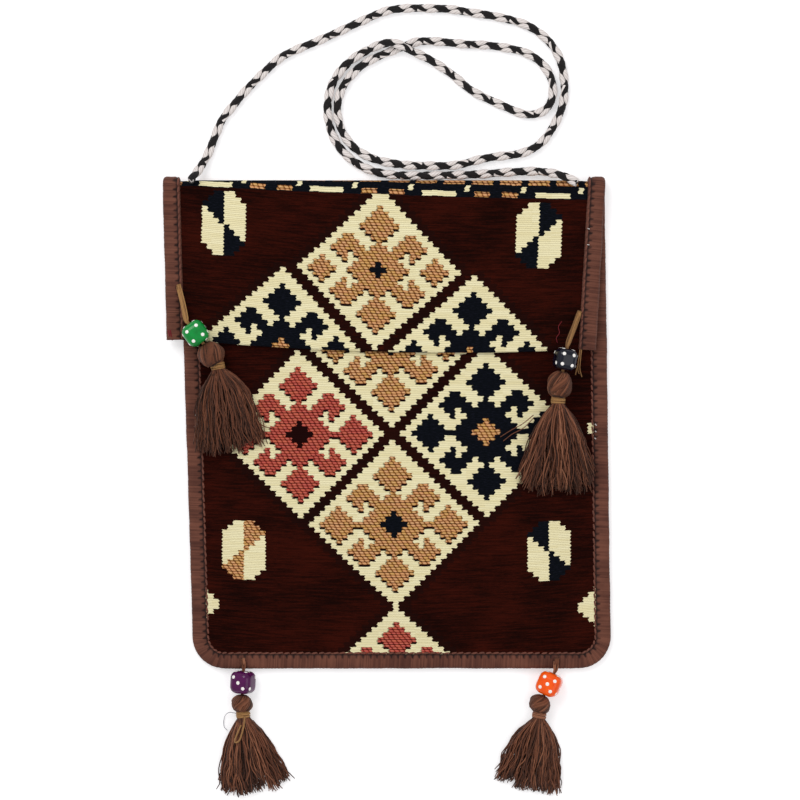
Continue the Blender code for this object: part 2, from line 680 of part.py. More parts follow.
def make_thread_bundle(tassel, layout, pivot, material):
    """The tassel's threads as one lofted solid: round head, tied neck and flat spread skirt."""
    around = THREAD_LOBES * 4
    name = tassel["name"] + "_tassel_threads"
    rings = []
    for centre, direction, width, thickness, lobe in bundle_sections(tassel, layout):
        across = Vector((-direction.y, direction.x, 0.0))
        ring = []
        for index in range(around):
            angle = 2 * math.pi * index / around
            ripple = 1.0 - lobe * (0.5 - 0.5 * math.cos(THREAD_LOBES * angle))
            place = centre + across * width * ripple * math.cos(angle)
            place.z += thickness * ripple * math.sin(angle)
            ring.append(place - layout["root"])
        rings.append(ring)
    bundle = add_part(name, loft_mesh(name, rings), material, pivot)

    top, aim = socket_line(tassel, layout)
    socket = add_guide(name + "_socket",
                       cylinder_mesh(name + "_socket", LOOP_RADIUS + GAP, SOCKET_DEPTH * 2), pivot)
    socket.location = top - layout["root"]
    socket.rotation_mode = "QUATERNION"
    socket.rotation_quaternion = Vector((1, 0, 0)).rotation_difference(aim)
    cut_with(bundle, socket)


def make_neck_wrap(tassel, layout, pivot, material):
    """Thread wound round the neck: a rounded band turned about the neck's own axis."""
    name = tassel["name"] + "_tassel_neck_wrap"
    inner = NECK_RADIUS + GAP
    profile = [(inner, -WRAP_LENGTH / 2), (inner, WRAP_LENGTH / 2)]
    for step in range(6):
        share = step / 5
        bulge = WRAP_BULGE * math.sin(math.pi * share)
        profile.append((inner + WRAP_THICKNESS - WRAP_BULGE + bulge,
                        WRAP_LENGTH / 2 - WRAP_LENGTH * share))
    bm = bmesh.new()
    loop = [bm.verts.new((radius, 0.0, height)) for radius, height in profile]
    for vertex, following in zip(loop, loop[1:] + loop[:1]):
        bm.edges.new((vertex, following))
    mesh = bpy.data.meshes.new(name)
    bm.to_mesh(mesh)
    bm.free()
    wrap = add_part(name, mesh, material, pivot)
    neck = layout["neck"]
    middle = Vector((layout["skirt_middle"].x, layout["skirt_middle"].y, neck.z))
    wrap.location = neck - layout["root"]
    wrap.rotation_mode = "QUATERNION"
    wrap.rotation_quaternion = Vector((0, 0, 1)).rotation_difference((middle - neck).normalized())
    turn = wrap.modifiers.new("turned band", "SCREW")
    turn.steps = 28
    turn.render_steps = 28
    turn.use_merge_vertices = True
    turn.merge_threshold = 0.00001
    turn.use_normal_calculate = True


def make_tassel(tassel, thread_material):
    layout = tassel_layout(tassel)
    pivot = make_pivot(tassel, layout)
    bead_material = make_material(tassel["name"] + "_glass", tassel["colour"], 0.15)
    make_loop(tassel, layout, pivot, thread_material)
    make_bead(tassel, layout, pivot, bead_material)
    make_thread_bundle(tassel, layout, pivot, thread_material)
    make_neck_wrap(tassel, layout, pivot, thread_material)


def main():
    clear_scene()
    cloth = make_material("woven_wool", GROUND_COLOUR, 0.95)
    binding = make_material("wrapped_thread", BINDING_COLOUR, 0.90)
    thread = make_material("tassel_thread", THREAD_COLOUR, 0.90)
    cord = make_material("twisted_cord", CORD_COLOUR, 0.90)
    make_back_and_flap_cloth(cloth)
    make_front_cloth(cloth)
    make_edge_binding(binding)
    make_strap_cord(cord)
    for tassel in TASSELS:
        make_tassel(tassel, thread)
    bpy.context.view_layer.update()


main()
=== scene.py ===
"""The looks of a flat woven shoulder bag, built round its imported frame.

Everything is in metres in the bag's own frame: X across the bag, Y from its bottom to its strap,
Z up out of its front, with the bag lying on its back on z = 0.
"""

import math
from functools import partialmethod
from types import SimpleNamespace

import bpy
import numpy as np
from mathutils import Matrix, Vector


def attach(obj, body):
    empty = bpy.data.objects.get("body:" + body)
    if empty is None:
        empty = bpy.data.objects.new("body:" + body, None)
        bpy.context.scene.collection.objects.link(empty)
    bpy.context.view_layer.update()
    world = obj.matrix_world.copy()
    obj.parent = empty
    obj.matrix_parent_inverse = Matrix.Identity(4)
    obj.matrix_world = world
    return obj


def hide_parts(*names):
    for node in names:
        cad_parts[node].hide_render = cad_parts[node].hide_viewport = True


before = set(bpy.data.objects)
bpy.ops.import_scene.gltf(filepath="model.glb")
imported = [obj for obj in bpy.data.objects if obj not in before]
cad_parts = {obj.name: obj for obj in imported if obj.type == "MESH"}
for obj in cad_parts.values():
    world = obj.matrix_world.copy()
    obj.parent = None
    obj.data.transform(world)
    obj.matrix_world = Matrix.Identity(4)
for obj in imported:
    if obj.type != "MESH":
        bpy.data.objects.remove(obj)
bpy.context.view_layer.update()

# The photograph's frame: metres for each pixel, and the pixel that lies over the bag's origin
PIXEL = 0.00056
ORIGIN_PX = (397.0, 423.0)
PHOTO_CENTRE_PX = 400.0
FRAME_WIDTH = 0.448
CAMERA_HEIGHT = 1.8
# The height at which that number of metres for each pixel holds
MEASURED_Z = 0.006
SENSOR_WIDTH = 36.0

UP = np.array([0.0, 0.0, 1.0])

# Outline of the bag, as in its solids
CLOTH_THICKNESS = 0.0013
BINDING_WIDTH = 0.0098
BINDING_THICKNESS = 0.0054
BINDING_OVERHANG = 0.0015
GAP = 0.0003
BOTTOM_Y = -0.1377
FOLD_Y = 0.1310
BODY_LEFT_BOTTOM_X = -0.1141
BODY_LEFT_HEM_X = -0.1198
BODY_RIGHT_BOTTOM_X = 0.1201
FOLD_LEFT_X = -0.1310
FOLD_RIGHT_X = 0.1165
FLAP_LEFT_HEM_X = -0.1288
FLAP_RIGHT_HEM_X = 0.1112
HEM_LEFT_Y = 0.0465
HEM_MIDDLE_Y = 0.0398
HEM_RIGHT_Y = 0.0409
CORNER_RADIUS = 0.0180
MOUTH_DROP = 0.0090
CLOTH_INSET = BINDING_WIDTH - 0.0016

BACK_Z = 0.0008
FRONT_EDGE_Z = 0.0043
FRONT_Z = 0.0074
FLAP_EDGE_Z = 0.0084
FLAP_Z = 0.0093
BODY_BINDING_Z = BINDING_THICKNESS / 2
FLAP_BINDING_Z = BINDING_THICKNESS + GAP + BINDING_THICKNESS / 2

# The weave: size of one pattern cell, and where the diamonds' common middle lies on each cloth
CELL_Y = 5.4 * PIXEL
FRONT_MIDDLE_PX = (394.0, 432.0)
FLAP_MIDDLE_PX = (378.0, 267.4)
FRONT_MIDDLE_W = 35.0
FLAP_MIDDLE_W = 31.7
FRONT_APART = 17.0
FLAP_APART = 14.94
# Cells across and down, as powers of the distance from that pixel in hundreds of pixels:
# 1, x, y, x x, x y, y y, x y y, y y y, x x y. The hand-woven rows run a little askew.
FRONT_ACROSS = (0.356, 18.230, -0.356, -0.159, 0.143, 0.029, -0.068, -0.032, 0.156)
FRONT_DOWN = (34.692, 0.243, 18.535, 0.090, -0.156, 0.122, 0.034, 0.076, 0.153)
FLAP_ACROSS = (-0.064, 17.757, 0.673, -0.121, 0.182, 0.155, 0.156, 0.056, -0.036)
FLAP_DOWN = (16.176, -0.836, 18.372, 0.305, -0.129, 0.474, 0.116, -0.821, 0.067)
# Cells from the clusters' middle to each side diamond's middle, and past that to its end
DIAMOND_SPACING = 17.0
DIAMOND_REACH = 15.8
RIBS_IN_CELL = 3.0
# The band along the fold: its lower edge, and the repeats of its blocks, ticks and bars
BAND_EDGE = 3.86
BLOCK_PITCH = 4.92
TICK_PITCH = 9.88
BAR_PITCH = 19.85

# Strap
CORD_LEAD = 0.0262
CORD_LOW = 28
# Its route from the left end of the fold to the right one, in tenths of a millimetre, and the
# heights of those points that lie above CORD_LOW
CORD_POINTS = (
    (-1152, 1352), (-1136, 1377), (-1112, 1415), (-1082, 1465), (-1051, 1530), (-1014, 1625),
    (-979, 1703), (-922, 1776), (-851, 1861), (-766, 1947), (-659, 2045), (-559, 2096),
    (-444, 2143), (-323, 2196), (-209, 2250), (-69, 2308), (34, 2325), (170, 2326), (299, 2321),
    (419, 2301), (539, 2283), (676, 2250), (762, 2213), (829, 2163), (879, 2106), (913, 2041),
    (931, 1974), (939, 1907), (939, 1842), (927, 1778), (905, 1716), (872, 1655), (829, 1593),
    (778, 1548), (717, 1519), (650, 1504), (582, 1497), (515, 1488), (448, 1474), (381, 1456),
    (314, 1445), (246, 1442), (174, 1443), (90, 1444), (6, 1452), (-67, 1464), (-134, 1483),
    (-193, 1511), (-244, 1548), (-284, 1594), (-312, 1646), (-329, 1702), (-335, 1758),
    (-329, 1814), (-311, 1869), (-281, 1920), (-244, 1964), (-199, 2004), (-146, 2036), (-90, 2062),
    (-28, 2087), (39, 2113), (125, 2140), (246, 2138), (385, 2124), (521, 2117), (657, 2095),
    (728, 2073), (790, 2037), (837, 1985), (867, 1925), (875, 1864), (864, 1803), (830, 1756),
    (778, 1733), (722, 1731), (669, 1746), (605, 1775), (532, 1807), (416, 1866), (306, 1957),
    (197, 2029), (129, 2062), (78, 2083), (31, 2108), (-31, 2129), (-95, 2118), (-151, 2097),
    (-202, 2071), (-258, 2034), (-308, 1986), (-346, 1933), (-372, 1877), (-385, 1820),
    (-390, 1761), (-385, 1701), (-370, 1639), (-343, 1579), (-305, 1525), (-255, 1477),
    (-196, 1439), (-129, 1412), (-59, 1396), (17, 1389), (92, 1387), (207, 1388), (358, 1391),
    (489, 1397), (625, 1407), (762, 1412), (840, 1404), (909, 1387), (962, 1365), (1004, 1341),
)
CORD_HEIGHTS = {
    0: 132, 1: 116, 2: 72, 3: 38, 80: 29, 81: 40, 82: 60, 83: 76, 84: 83, 85: 76, 86: 56, 87: 39,
    88: 30, 109: 33, 110: 60, 111: 98, 112: 121, 113: 132,
}
CORD_ROUTE = [(x / 10000, y / 10000, CORD_HEIGHTS.get(number, CORD_LOW) / 10000)
              for number, (x, y) in enumerate(CORD_POINTS)]

# Tassels: where each is sewn, its bead, the lean of the bead and head, neck, skirt and sizes
FRONT_TOP_Z = 0.0082
HEAD_BEHIND_BEAD = 0.0008
TASSELS = {
    "green": {"root": (-0.1218, 0.0762, 0.0110), "bead": (-0.1120, 0.0500, 0.0179),
              "side": 0.0130, "lean": 35.9, "head": (0.0074, 0.0070), "base": FRONT_TOP_Z,
              "neck": (-0.1000, 0.0318), "middle": (-0.0960, 0.0105), "end": (-0.0924, -0.0168),
              "spread": 0.0195, "seed": 11, "shoulder": 0.50, "corner": 0.10,
              "roll": 1, "dots": (2, 5, 3, 4, 4, 6)},
    "blue": {"root": (0.1016, 0.0612, 0.0110), "bead": (0.0935, 0.0356, 0.0174),
             "side": 0.0120, "lean": -11.1, "head": (0.0082, 0.0067), "base": FRONT_TOP_Z,
             "neck": (0.0899, 0.0126), "middle": (0.0896, -0.0120), "end": (0.0893, -0.0400),
             "spread": 0.0235, "seed": 12, "shoulder": 0.24, "corner": 0.17,
             "roll": -16, "dots": (1, 6, 5, 2, 4, 3)},
    "purple": {"root": (-0.0862, -0.1335, 0.0071), "bead": (-0.0862, -0.1451, 0.0071),
               "side": 0.0126, "lean": -2.9, "head": (0.0052, 0.0056), "base": 0.0,
               "neck": (-0.0862, -0.1634), "middle": (-0.0838, -0.1850),
               "end": (-0.0790, -0.2078), "spread": 0.0215, "seed": 13,
               "shoulder": 0.22, "corner": 0.14, "roll": 24, "dots": (1, 6, 2, 5, 3, 4)},
    "orange": {"root": (0.0893, -0.1335, 0.0071), "bead": (0.0851, -0.1461, 0.0071),
               "side": 0.0130, "lean": -24.2, "head": (0.0054, 0.0058), "base": 0.0,
               "neck": (0.0797, -0.1639), "middle": (0.0770, -0.1840),
               "end": (0.0722, -0.2055), "spread": 0.0190, "seed": 14,
               "shoulder": 0.40, "corner": 0.08, "roll": 12, "dots": (1, 6, 3, 4, 5, 2)},
}


def srgb(*values):
    """A colour given as 0 to 255 values, as linear light."""
    shares = [value / 255.0 for value in values]
    return tuple(s / 12.92 if s <= 0.04045 else ((s + 0.055) / 1.055) ** 2.4 for s in shares)


CREAM = srgb(246, 238, 198)
CREAM_DEEP = srgb(226, 212, 158)
# Painted shade in the gaps between the cream ribs
CREAM_RIB_SHADE = srgb(150, 132, 90)
TAN = srgb(204, 142, 92)
TAN_GOLD = srgb(198, 148, 78)
# Painted highlight for the tan floats
TAN_HIGHLIGHT = srgb(240, 194, 146)
TAN_DARK = srgb(92, 44, 18)
ROSE = srgb(178, 74, 62)
ROSE_WARM = srgb(192, 92, 68)
# Painted highlight for the rose floats
ROSE_HIGHLIGHT = srgb(216, 118, 104)
ROSE_DARK = srgb(92, 18, 18)
NAVY = srgb(9, 12, 17)
NAVY_LIGHT = srgb(21, 23, 33)
GROUND_DARK = srgb(22, 5, 3)
GROUND_RED = srgb(56, 15, 7)
GROUND_NEAR = srgb(26, 9, 7)
FIGURE_SHADOW = srgb(22, 8, 8)
HOLE_IN_ROSE = srgb(28, 6, 6)
FLOAT_EDGE = srgb(38, 14, 12)
STITCH = srgb(116, 68, 54)
THREAD = srgb(136, 80, 54)
THREAD_DARK = srgb(48, 25, 15)
THREAD_LIGHT = srgb(172, 118, 88)
CORD_WHITE = srgb(238, 230, 226)
CORD_BLACK = srgb(20, 18, 18)

# Turns of thread: how far apart they are
TWIST_PITCH = 0.0009
WRAP_PITCH = 0.00062


# Materials

class Field:
    """A number that varies over a surface, made by nodes."""

    def __init__(self, graph, socket):
        self.graph = graph
        self.socket = socket

    def math(self, operation, *others):
        return self.graph.math(operation, self, *others)

    __add__ = __radd__ = partialmethod(math, "ADD")
    __sub__ = partialmethod(math, "SUBTRACT")
    __mul__ = __rmul__ = partialmethod(math, "MULTIPLY")
    __truediv__ = partialmethod(math, "DIVIDE")
    floor = partialmethod(math, "FLOOR")
    fract = partialmethod(math, "FRACT")
    abs = partialmethod(math, "ABSOLUTE")
    above = partialmethod(math, "GREATER_THAN")
    below = partialmethod(math, "LESS_THAN")
    near = partialmethod(math, "COMPARE")
    either = partialmethod(math, "MAXIMUM")

    def __rsub__(self, other):
        return self.graph.math("SUBTRACT", other, self)

    def wrap(self, low, high):
        return self.math("WRAP", high, low)

    def smooth(self, low, high):
        """0 below low, 1 above high, and a smooth step between."""
        node = self.graph.add("ShaderNodeMapRange", interpolation_type="SMOOTHSTEP")
        self.graph.feed(node.inputs["Value"], self)
        self.graph.feed(node.inputs["From Min"], low)
        self.graph.feed(node.inputs["From Max"], high)
        return Field(self.graph, node.outputs["Result"])


class Graph:
    """Builds nodes in one tree from plain arithmetic."""

    def __init__(self, tree):
        self.tree = tree

    def add(self, kind, **settings):
        node = self.tree.nodes.new(kind)
        for key, value in settings.items():
            setattr(node, key, value)
        return node

    def feed(self, socket, value):
        if isinstance(value, Field):
            value = value.socket
        if isinstance(value, bpy.types.NodeSocket):
            self.tree.links.new(value, socket)
        elif isinstance(value, tuple) and len(value) == 3 and socket.type == "RGBA":
            socket.default_value = (*value, 1.0)
        else:
            socket.default_value = value

    def math(self, operation, *values):
        node = self.add("ShaderNodeMath", operation=operation)
        for socket, value in zip(node.inputs, values):
            self.feed(socket, value)
        return Field(self, node.outputs[0])

    def mix(self, share, first, second):
        node = self.add("ShaderNodeMix", data_type="RGBA", blend_type="MIX")
        self.feed(node.inputs[0], share)
        self.feed(node.inputs[6], first)
        self.feed(node.inputs[7], second)
        return node.outputs[2]

    def vector(self, x=0.0, y=0.0, z=0.0):
        node = self.add("ShaderNodeCombineXYZ")
        for socket, value in zip(node.inputs, (x, y, z)):
            self.feed(socket, value)
        return node.outputs[0]

    def uv(self, name):
        node = self.add("ShaderNodeUVMap", uv_map=name)
        parts = self.add("ShaderNodeSeparateXYZ")
        self.feed(parts.inputs[0], node.outputs[0])
        return Field(self, parts.outputs[0]), Field(self, parts.outputs[1])

    def noise(self, vector, scale=1.0, detail=2.0, roughness=0.5):
        node = self.add("ShaderNodeTexNoise")
        self.feed(node.inputs["Vector"], vector)
        self.feed(node.inputs["Scale"], scale)
        self.feed(node.inputs["Detail"], detail)
        self.feed(node.inputs["Roughness"], roughness)
        return Field(self, node.outputs["Fac"])

    def random(self, vector):
        node = self.add("ShaderNodeTexWhiteNoise", noise_dimensions="3D")
        self.feed(node.inputs["Vector"], vector)
        return Field(self, node.outputs["Value"])

    def use(self, group, *values):
        node = self.add("ShaderNodeGroup", node_tree=group)
        for socket, value in zip(node.inputs, values):
            self.feed(socket, value)
        return [Field(self, output) for output in node.outputs]


def new_material(name, roughness=0.9, sheen=0.0, coat=0.0, specular=0.5):
    material = bpy.data.materials.new(name)
    material.use_nodes = True
    shader = material.node_tree.nodes["Principled BSDF"]
    shader.inputs["Roughness"].default_value = roughness
    shader.inputs["Sheen Weight"].default_value = sheen
    shader.inputs["Sheen Roughness"].default_value = 0.5
    shader.inputs["Coat Weight"].default_value = coat
    shader.inputs["Coat Roughness"].default_value = 0.08
    shader.inputs["Specular IOR Level"].default_value = specular
    return material, Graph(material.node_tree), shader


def bump(graph, shader, height, distance, strength=1.0):
    node = graph.add("ShaderNodeBump")
    node.inputs["Strength"].default_value = strength
    node.inputs["Distance"].default_value = distance
    graph.feed(node.inputs["Height"], height)
    graph.feed(shader.inputs["Normal"], node.outputs[0])


def new_group(name, inputs, outputs):
    """An empty group of nodes: its graph, its inputs and the node that takes its outputs."""
    tree = bpy.data.node_groups.new(name, "ShaderNodeTree")
    for way, socket_names in (("INPUT", inputs), ("OUTPUT", outputs)):
        for socket_name in socket_names:
            tree.interface.new_socket(socket_name, in_out=way, socket_type="NodeSocketFloat")
    graph = Graph(tree)
    inlet = graph.add("NodeGroupInput")
    fields = [Field(graph, inlet.outputs[number]) for number in range(len(inputs))]
    return graph, fields, graph.add("NodeGroupOutput")


def figure_group():
    """The diamond and the stepped figure in it, in cells from the diamond's middle."""
    graph, (across, down, left_out), outlet = new_group(
        "diamond_figure", ("Across", "Down", "Rows left out"), ("Diamond", "Figure", "Hole"))
    a = (across + 0.5).floor().abs()
    b = (down + 0.5).floor().abs() + left_out
    total = a + b

    def block(first_a, last_a, row):
        middle = (first_a + last_a) / 2
        reach = (last_a - first_a) / 2 + 0.4
        return a.near(middle, reach) * b.near(float(row), 0.4)

    diamond = total.below(15.5)
    figure = (a + (b - 9.0).abs()).below(3.5)
    figure = figure.either(((a - 10.0).abs() + b).below(3.5))
    figure = figure.either(b.below(0.5) * a.below(13.5))
    figure = figure.either(a.below(0.5) * b.below(12.5))
    figure = figure.either(total.below(6.5) * b.below(3.5) * a.below(5.5))
    for first_a, last_a, row in ((0, 4, 4), (0, 1, 5), (5, 6, 7), (4, 7, 6), (3, 8, 5),
                                 (6, 7, 4), (6, 6, 3)):
        figure = figure.either(block(first_a, last_a, row))
    hole = total.below(2.5)
    for socket, value in zip(outlet.inputs, (diamond, figure, hole)):
        graph.feed(socket, value)
    return graph.tree


def oval_group():
    """A stepped oval in two colours, each on two opposite quarters, in cells from its middle."""
    graph, (across, down), outlet = new_group("stepped_oval", ("Across", "Down"), ("Oval", "Pale"))
    column = across.floor()
    row = down.floor()
    p = (column + 0.5).abs() - 0.5
    r = (row + 0.5).abs() - 0.5
    side = (column + 0.5).math("SIGN")
    q = (row + 0.5) * side - 0.5
    oval = p.below(3.5) * (p + r).below(6.5) * r.below(5.5)
    graph.feed(outlet.inputs[0], oval)
    graph.feed(outlet.inputs[1], (p - q).above(0.5))
    return graph.tree


FIGURE = figure_group()
OVAL = oval_group()


def slanting_floats(graph, u, down):
    """Short slanting floats, two rows of them in each cell: a function that colours them, with
    painted shade and the dark ground in the gaps between them and a painted highlight along
    their middles, and their height."""
    doubled = down * 2.0 + 101.0
    row = doubled.floor()
    inside = doubled.fract()
    bend = graph.random(graph.vector((u * 0.4).floor(), row, 5.0)) * 0.2
    lean = u * 1.08 - inside * 0.30 - row * 0.36 + bend
    along = lean.fract()
    shade = graph.random(graph.vector(lean.floor(), row, 2.0))
    hue = graph.random(graph.vector(lean.floor(), row, 9.0))
    from_middle = (along - 0.5) * 2.0
    from_row = (inside - 0.5) * 2.0
    edge = (from_middle.math("POWER", 4.0) + from_row.math("POWER", 4.0)
            + from_middle * from_middle * from_row * from_row * 0.5)
    # Painted shade, together with the dark ground, in the gaps round each float
    gap_ground_and_shade = edge.smooth(0.34, 0.86)
    wavy = inside + (along - 0.5).abs() * 0.30
    every_second = (row * 0.5).fract().below(0.25)
    row_line = every_second * wavy.smooth(0.80, 0.98)
    # Painted highlight along the middle of each float
    float_highlight = (1.0 - edge * 3.0).smooth(0.2, 1.0)

    def floats(base, second, light, dark):
        colour = graph.mix(hue.smooth(0.35, 0.80), base, second)
        colour = graph.mix(shade * 0.30, colour, dark)
        # Painted highlight on each float, then painted shade with the dark ground in its gaps
        colour = graph.mix(float_highlight * (0.20 + shade * 0.35), colour, light)
        colour = graph.mix(gap_ground_and_shade * 0.90, colour, dark)
        return graph.mix(row_line * 0.85, colour, FLOAT_EDGE)

    return floats, 1.15 - edge.math("MINIMUM", 1.0) - row_line * 0.4


def plain_weave(graph, u, w, near_diamond):
    """The streaky dark red ground, darker round the diamonds, and the navy."""
    streak = graph.noise(graph.vector(u * 0.22, w * 2.6, 4.0), 1.0, 3.0)
    fleck = graph.noise(graph.vector(u * 1.4, w * 6.5, 8.0), 1.0, 2.0)
    cloudy = graph.noise(graph.vector(u * 0.08, w * 0.13, 3.0), 1.0, 2.0)
    redness = (streak * 0.55 + fleck * 0.30 + cloudy * 0.45).smooth(0.48, 0.86)
    ground = graph.mix(redness, GROUND_DARK, GROUND_RED)
    ground = graph.mix(near_diamond * 0.65, ground, GROUND_NEAR)
    return ground, graph.mix(fleck.smooth(0.4, 0.8), NAVY, NAVY_LIGHT)


def cream_weft(graph, u, w, rib):
    """Fine ribs, each a little lighter or darker than the next, with painted shade in the gap at
    the foot of each, and their height.
    """
    place = (w * RIBS_IN_CELL).fract()
    shade = graph.random(graph.vector(rib, (u * 0.3).floor(), 5.0))
    fleck = graph.noise(graph.vector(u * 2.2, w * 8.0, 1.0), 1.0, 2.0)
    cream = graph.mix(shade * 0.45 + fleck * 0.35, CREAM, CREAM_DEEP)
    # Painted shade in the gap at the foot of each rib
    cream = graph.mix(place.below(0.22) * 0.42, cream, CREAM_RIB_SHADE)
    return cream, 1.0 - ((place - 0.57) * 2.0).math("POWER", 2.0)


def fold_band(u, band):
    """The band along the fold: where its tan blocks and pairs are, and its cream ticks and bars."""
    block = ((u + 1.81) / BLOCK_PITCH).fract()
    blocks = band.below(1.85) * block.below(0.372).either(band.below(1.85) * block.above(0.628))
    tick = ((u + 4.61 + (band - 2.6) * 0.25) / TICK_PITCH + 0.5).fract()
    ticks = band.above(2.10) * band.below(3.05) * tick.near(0.5, 0.042)
    in_bars = band.above(2.98) * band.below(3.82)
    bar = ((u - 10.25) / BAR_PITCH + 0.5).fract()
    bars = in_bars * bar.near(0.5, 0.150)
    pair = ((u - 0.38) / BAR_PITCH + 0.5).fract()
    pairs = in_bars * pair.near(0.5 - 0.122, 0.067).either(pair.near(0.5 + 0.122, 0.067))
    return blocks.either(pairs), ticks.either(bars)


def woven_material(name, side_colours, ovals, tips, middle, apart, row_share, left_out):
    """Tapestry-woven wool. The UV map gives cells across from the diamonds' middle line, and
    cells down from the middle of the band along the fold."""
    material, graph, shader = new_material(name, roughness=0.95, specular=0.04)
    u_raw, w_signed = graph.uv("cloth")
    w_raw = w_signed.abs()

    # Each weft rib ends a little further out or in than the next
    rib = (w_raw * RIBS_IN_CELL).floor()
    tooth = ((w_raw * RIBS_IN_CELL / 2.0).fract() - 0.5).abs()
    wander = graph.random(graph.vector(rib, (u_raw * 0.5).floor(), 0.3)) - 0.5
    u = u_raw + (tooth - 0.25) * 0.50 + wander * 0.16
    w = w_raw + (graph.random(graph.vector(u_raw.floor(), 7.0, 1.0)) - 0.5) * 0.12

    # Four diamonds round a middle point, again and again down the cloth
    down = w - middle
    half_repeat = apart + DIAMOND_REACH - left_out
    cluster = down.above(half_repeat)
    down = down.wrap(-half_repeat, half_repeat)
    sideways = (u.abs() * (apart / DIAMOND_SPACING)).above(down.abs())
    right = sideways * u.above(0.0)
    left = sideways * u.below(0.0)
    du = u - (right - left) * DIAMOND_SPACING
    upright = 1.0 - sideways
    dw = (down - down.math("SIGN") * upright * apart) * row_share
    # The band sags a little towards both ends
    band = w + 0.52 - (u - 4.0) * (u - 4.0) * 0.0005
    on_cloth = band.above(BAND_EDGE)
    diamond, figure, hole = graph.use(FIGURE, du, dw, left_out)
    shadow = graph.use(FIGURE, du, dw - 0.40, left_out)[1]
    side_shadow = graph.use(FIGURE, du + 0.20, dw - 0.20, left_out)[1]
    diamond = diamond * on_cloth

    floats, float_height = slanting_floats(graph, u_raw, dw)
    tan = floats(TAN, TAN_GOLD, TAN_HIGHLIGHT, TAN_DARK)
    rose = floats(ROSE, ROSE_WARM, ROSE_HIGHLIGHT, ROSE_DARK)
    near_diamond = graph.use(FIGURE, du * 0.88, dw * 0.88, left_out)[0] * on_cloth
    ground, navy = plain_weave(graph, u_raw, w_raw, near_diamond)
    cream, rib_height = cream_weft(graph, u_raw, w_raw, rib)

    # The stepped figures: tan in the upright diamonds, and as asked in the side ones
    colours = {"tan": tan, "rose": rose, "navy": navy}
    floated = {"tan": 1.0, "rose": 1.0, "navy": 0.0}
    left_colour, right_colour = side_colours
    figure_colour = graph.mix(left, tan, colours[left_colour])
    figure_colour = graph.mix(right, figure_colour, colours[right_colour])
    figure_colour = graph.mix(cluster * upright, figure_colour, rose)
    rose_side = left * (1.0 if left_colour == "rose" else 0.0)
    dark_hole = graph.mix(rose_side, navy, HOLE_IN_ROSE)
    navy_side = left * (1.0 - floated[left_colour]) + right * (1.0 - floated[right_colour])
    hole_colour = graph.mix(navy_side, dark_hole, tan)
    colour = graph.mix(diamond, ground, cream)
    under = shadow.either(side_shadow * 0.6) * (1.0 - figure) * diamond * (1.0 - navy_side)
    colour = graph.mix(under, colour, FIGURE_SHADOW)
    colour = graph.mix(figure * diamond, colour, figure_colour)
    colour = graph.mix(hole * diamond, colour, hole_colour)
    raised = figure * diamond * (1.0 - navy_side) * (1.0 - hole)

    for across, down_at, mirrored, second in ovals:
        flip = -1.0 if mirrored else 1.0
        mask, pale = graph.use(OVAL, (u - across) * flip * 1.02, (w - down_at) * 1.04)
        patch = graph.mix(pale, colours[second], cream)
        colour = graph.mix(mask, colour, patch)
        raised = raised.either(mask * (1.0 - pale) * floated[second])
    # Points of diamonds that the edge cuts off
    for across, reach, down_at in tips:
        out = (u * (1.0 if across > 0 else -1.0) - abs(across)).floor()
        off = ((w - down_at).floor() + 0.5).abs()
        mask = (out + 1.0 - off).above(0.0) * out.above(-0.5) * out.below(reach)
        colour = graph.mix(mask, colour, cream)

    in_tan, in_cream = fold_band(u, band)
    colour = graph.mix(band.below(BAND_EDGE + 0.09) * (1.0 - diamond), colour, navy)
    colour = graph.mix(in_tan, colour, tan)
    colour = graph.mix(in_cream, colour, cream)
    raised = raised.either(in_tan)

    graph.feed(shader.inputs["Base Color"], colour)
    fibre = graph.noise(graph.vector(u_raw * 9.0, w_raw * 22.0, 0.0), 1.0, 3.0, 0.6)
    height = (1.0 - raised) * rib_height * 0.45 + raised * float_height + fibre * 0.55
    bump(graph, shader, height, 0.00035, 0.8)
    return material


def thread_material(name, base, dark, light=None, roughness=0.62):
    """Twisted thread. UV: x once round the thread, y metres along. The second map's x is a
    number from 0 to 1 for each thread, and its y the share along it."""
    material, graph, shader = new_material(name, roughness=roughness, sheen=0.05, specular=0.22)
    around, along = graph.uv("thread")
    tint, along_share = graph.uv("tint")
    ply = (around * 2.0 + along / TWIST_PITCH).fract()
    groove = (ply - 0.5).abs() * 2.0
    fuzz = graph.noise(graph.vector(around * 4.0, along * 900.0, tint * 50.0), 1.0, 2.0)
    shade = tint * 0.75 + fuzz * 0.35
    colour = graph.mix(shade.smooth(0.15, 0.95), dark, base)
    if light is not None:
        colour = graph.mix(tint.smooth(0.62, 1.0) * 0.55, colour, light)
    # Painted shade in the grooves between the plies
    colour = graph.mix(groove.smooth(0.70, 1.0) * 0.45, colour, dark)
    colour = graph.mix(along_share.smooth(0.5, 1.0) * 0.12, colour, dark)
    graph.feed(shader.inputs["Base Color"], colour)
    bump(graph, shader, (1.0 - groove * groove) + fuzz * 0.2, 0.00012, 0.8)
    return material


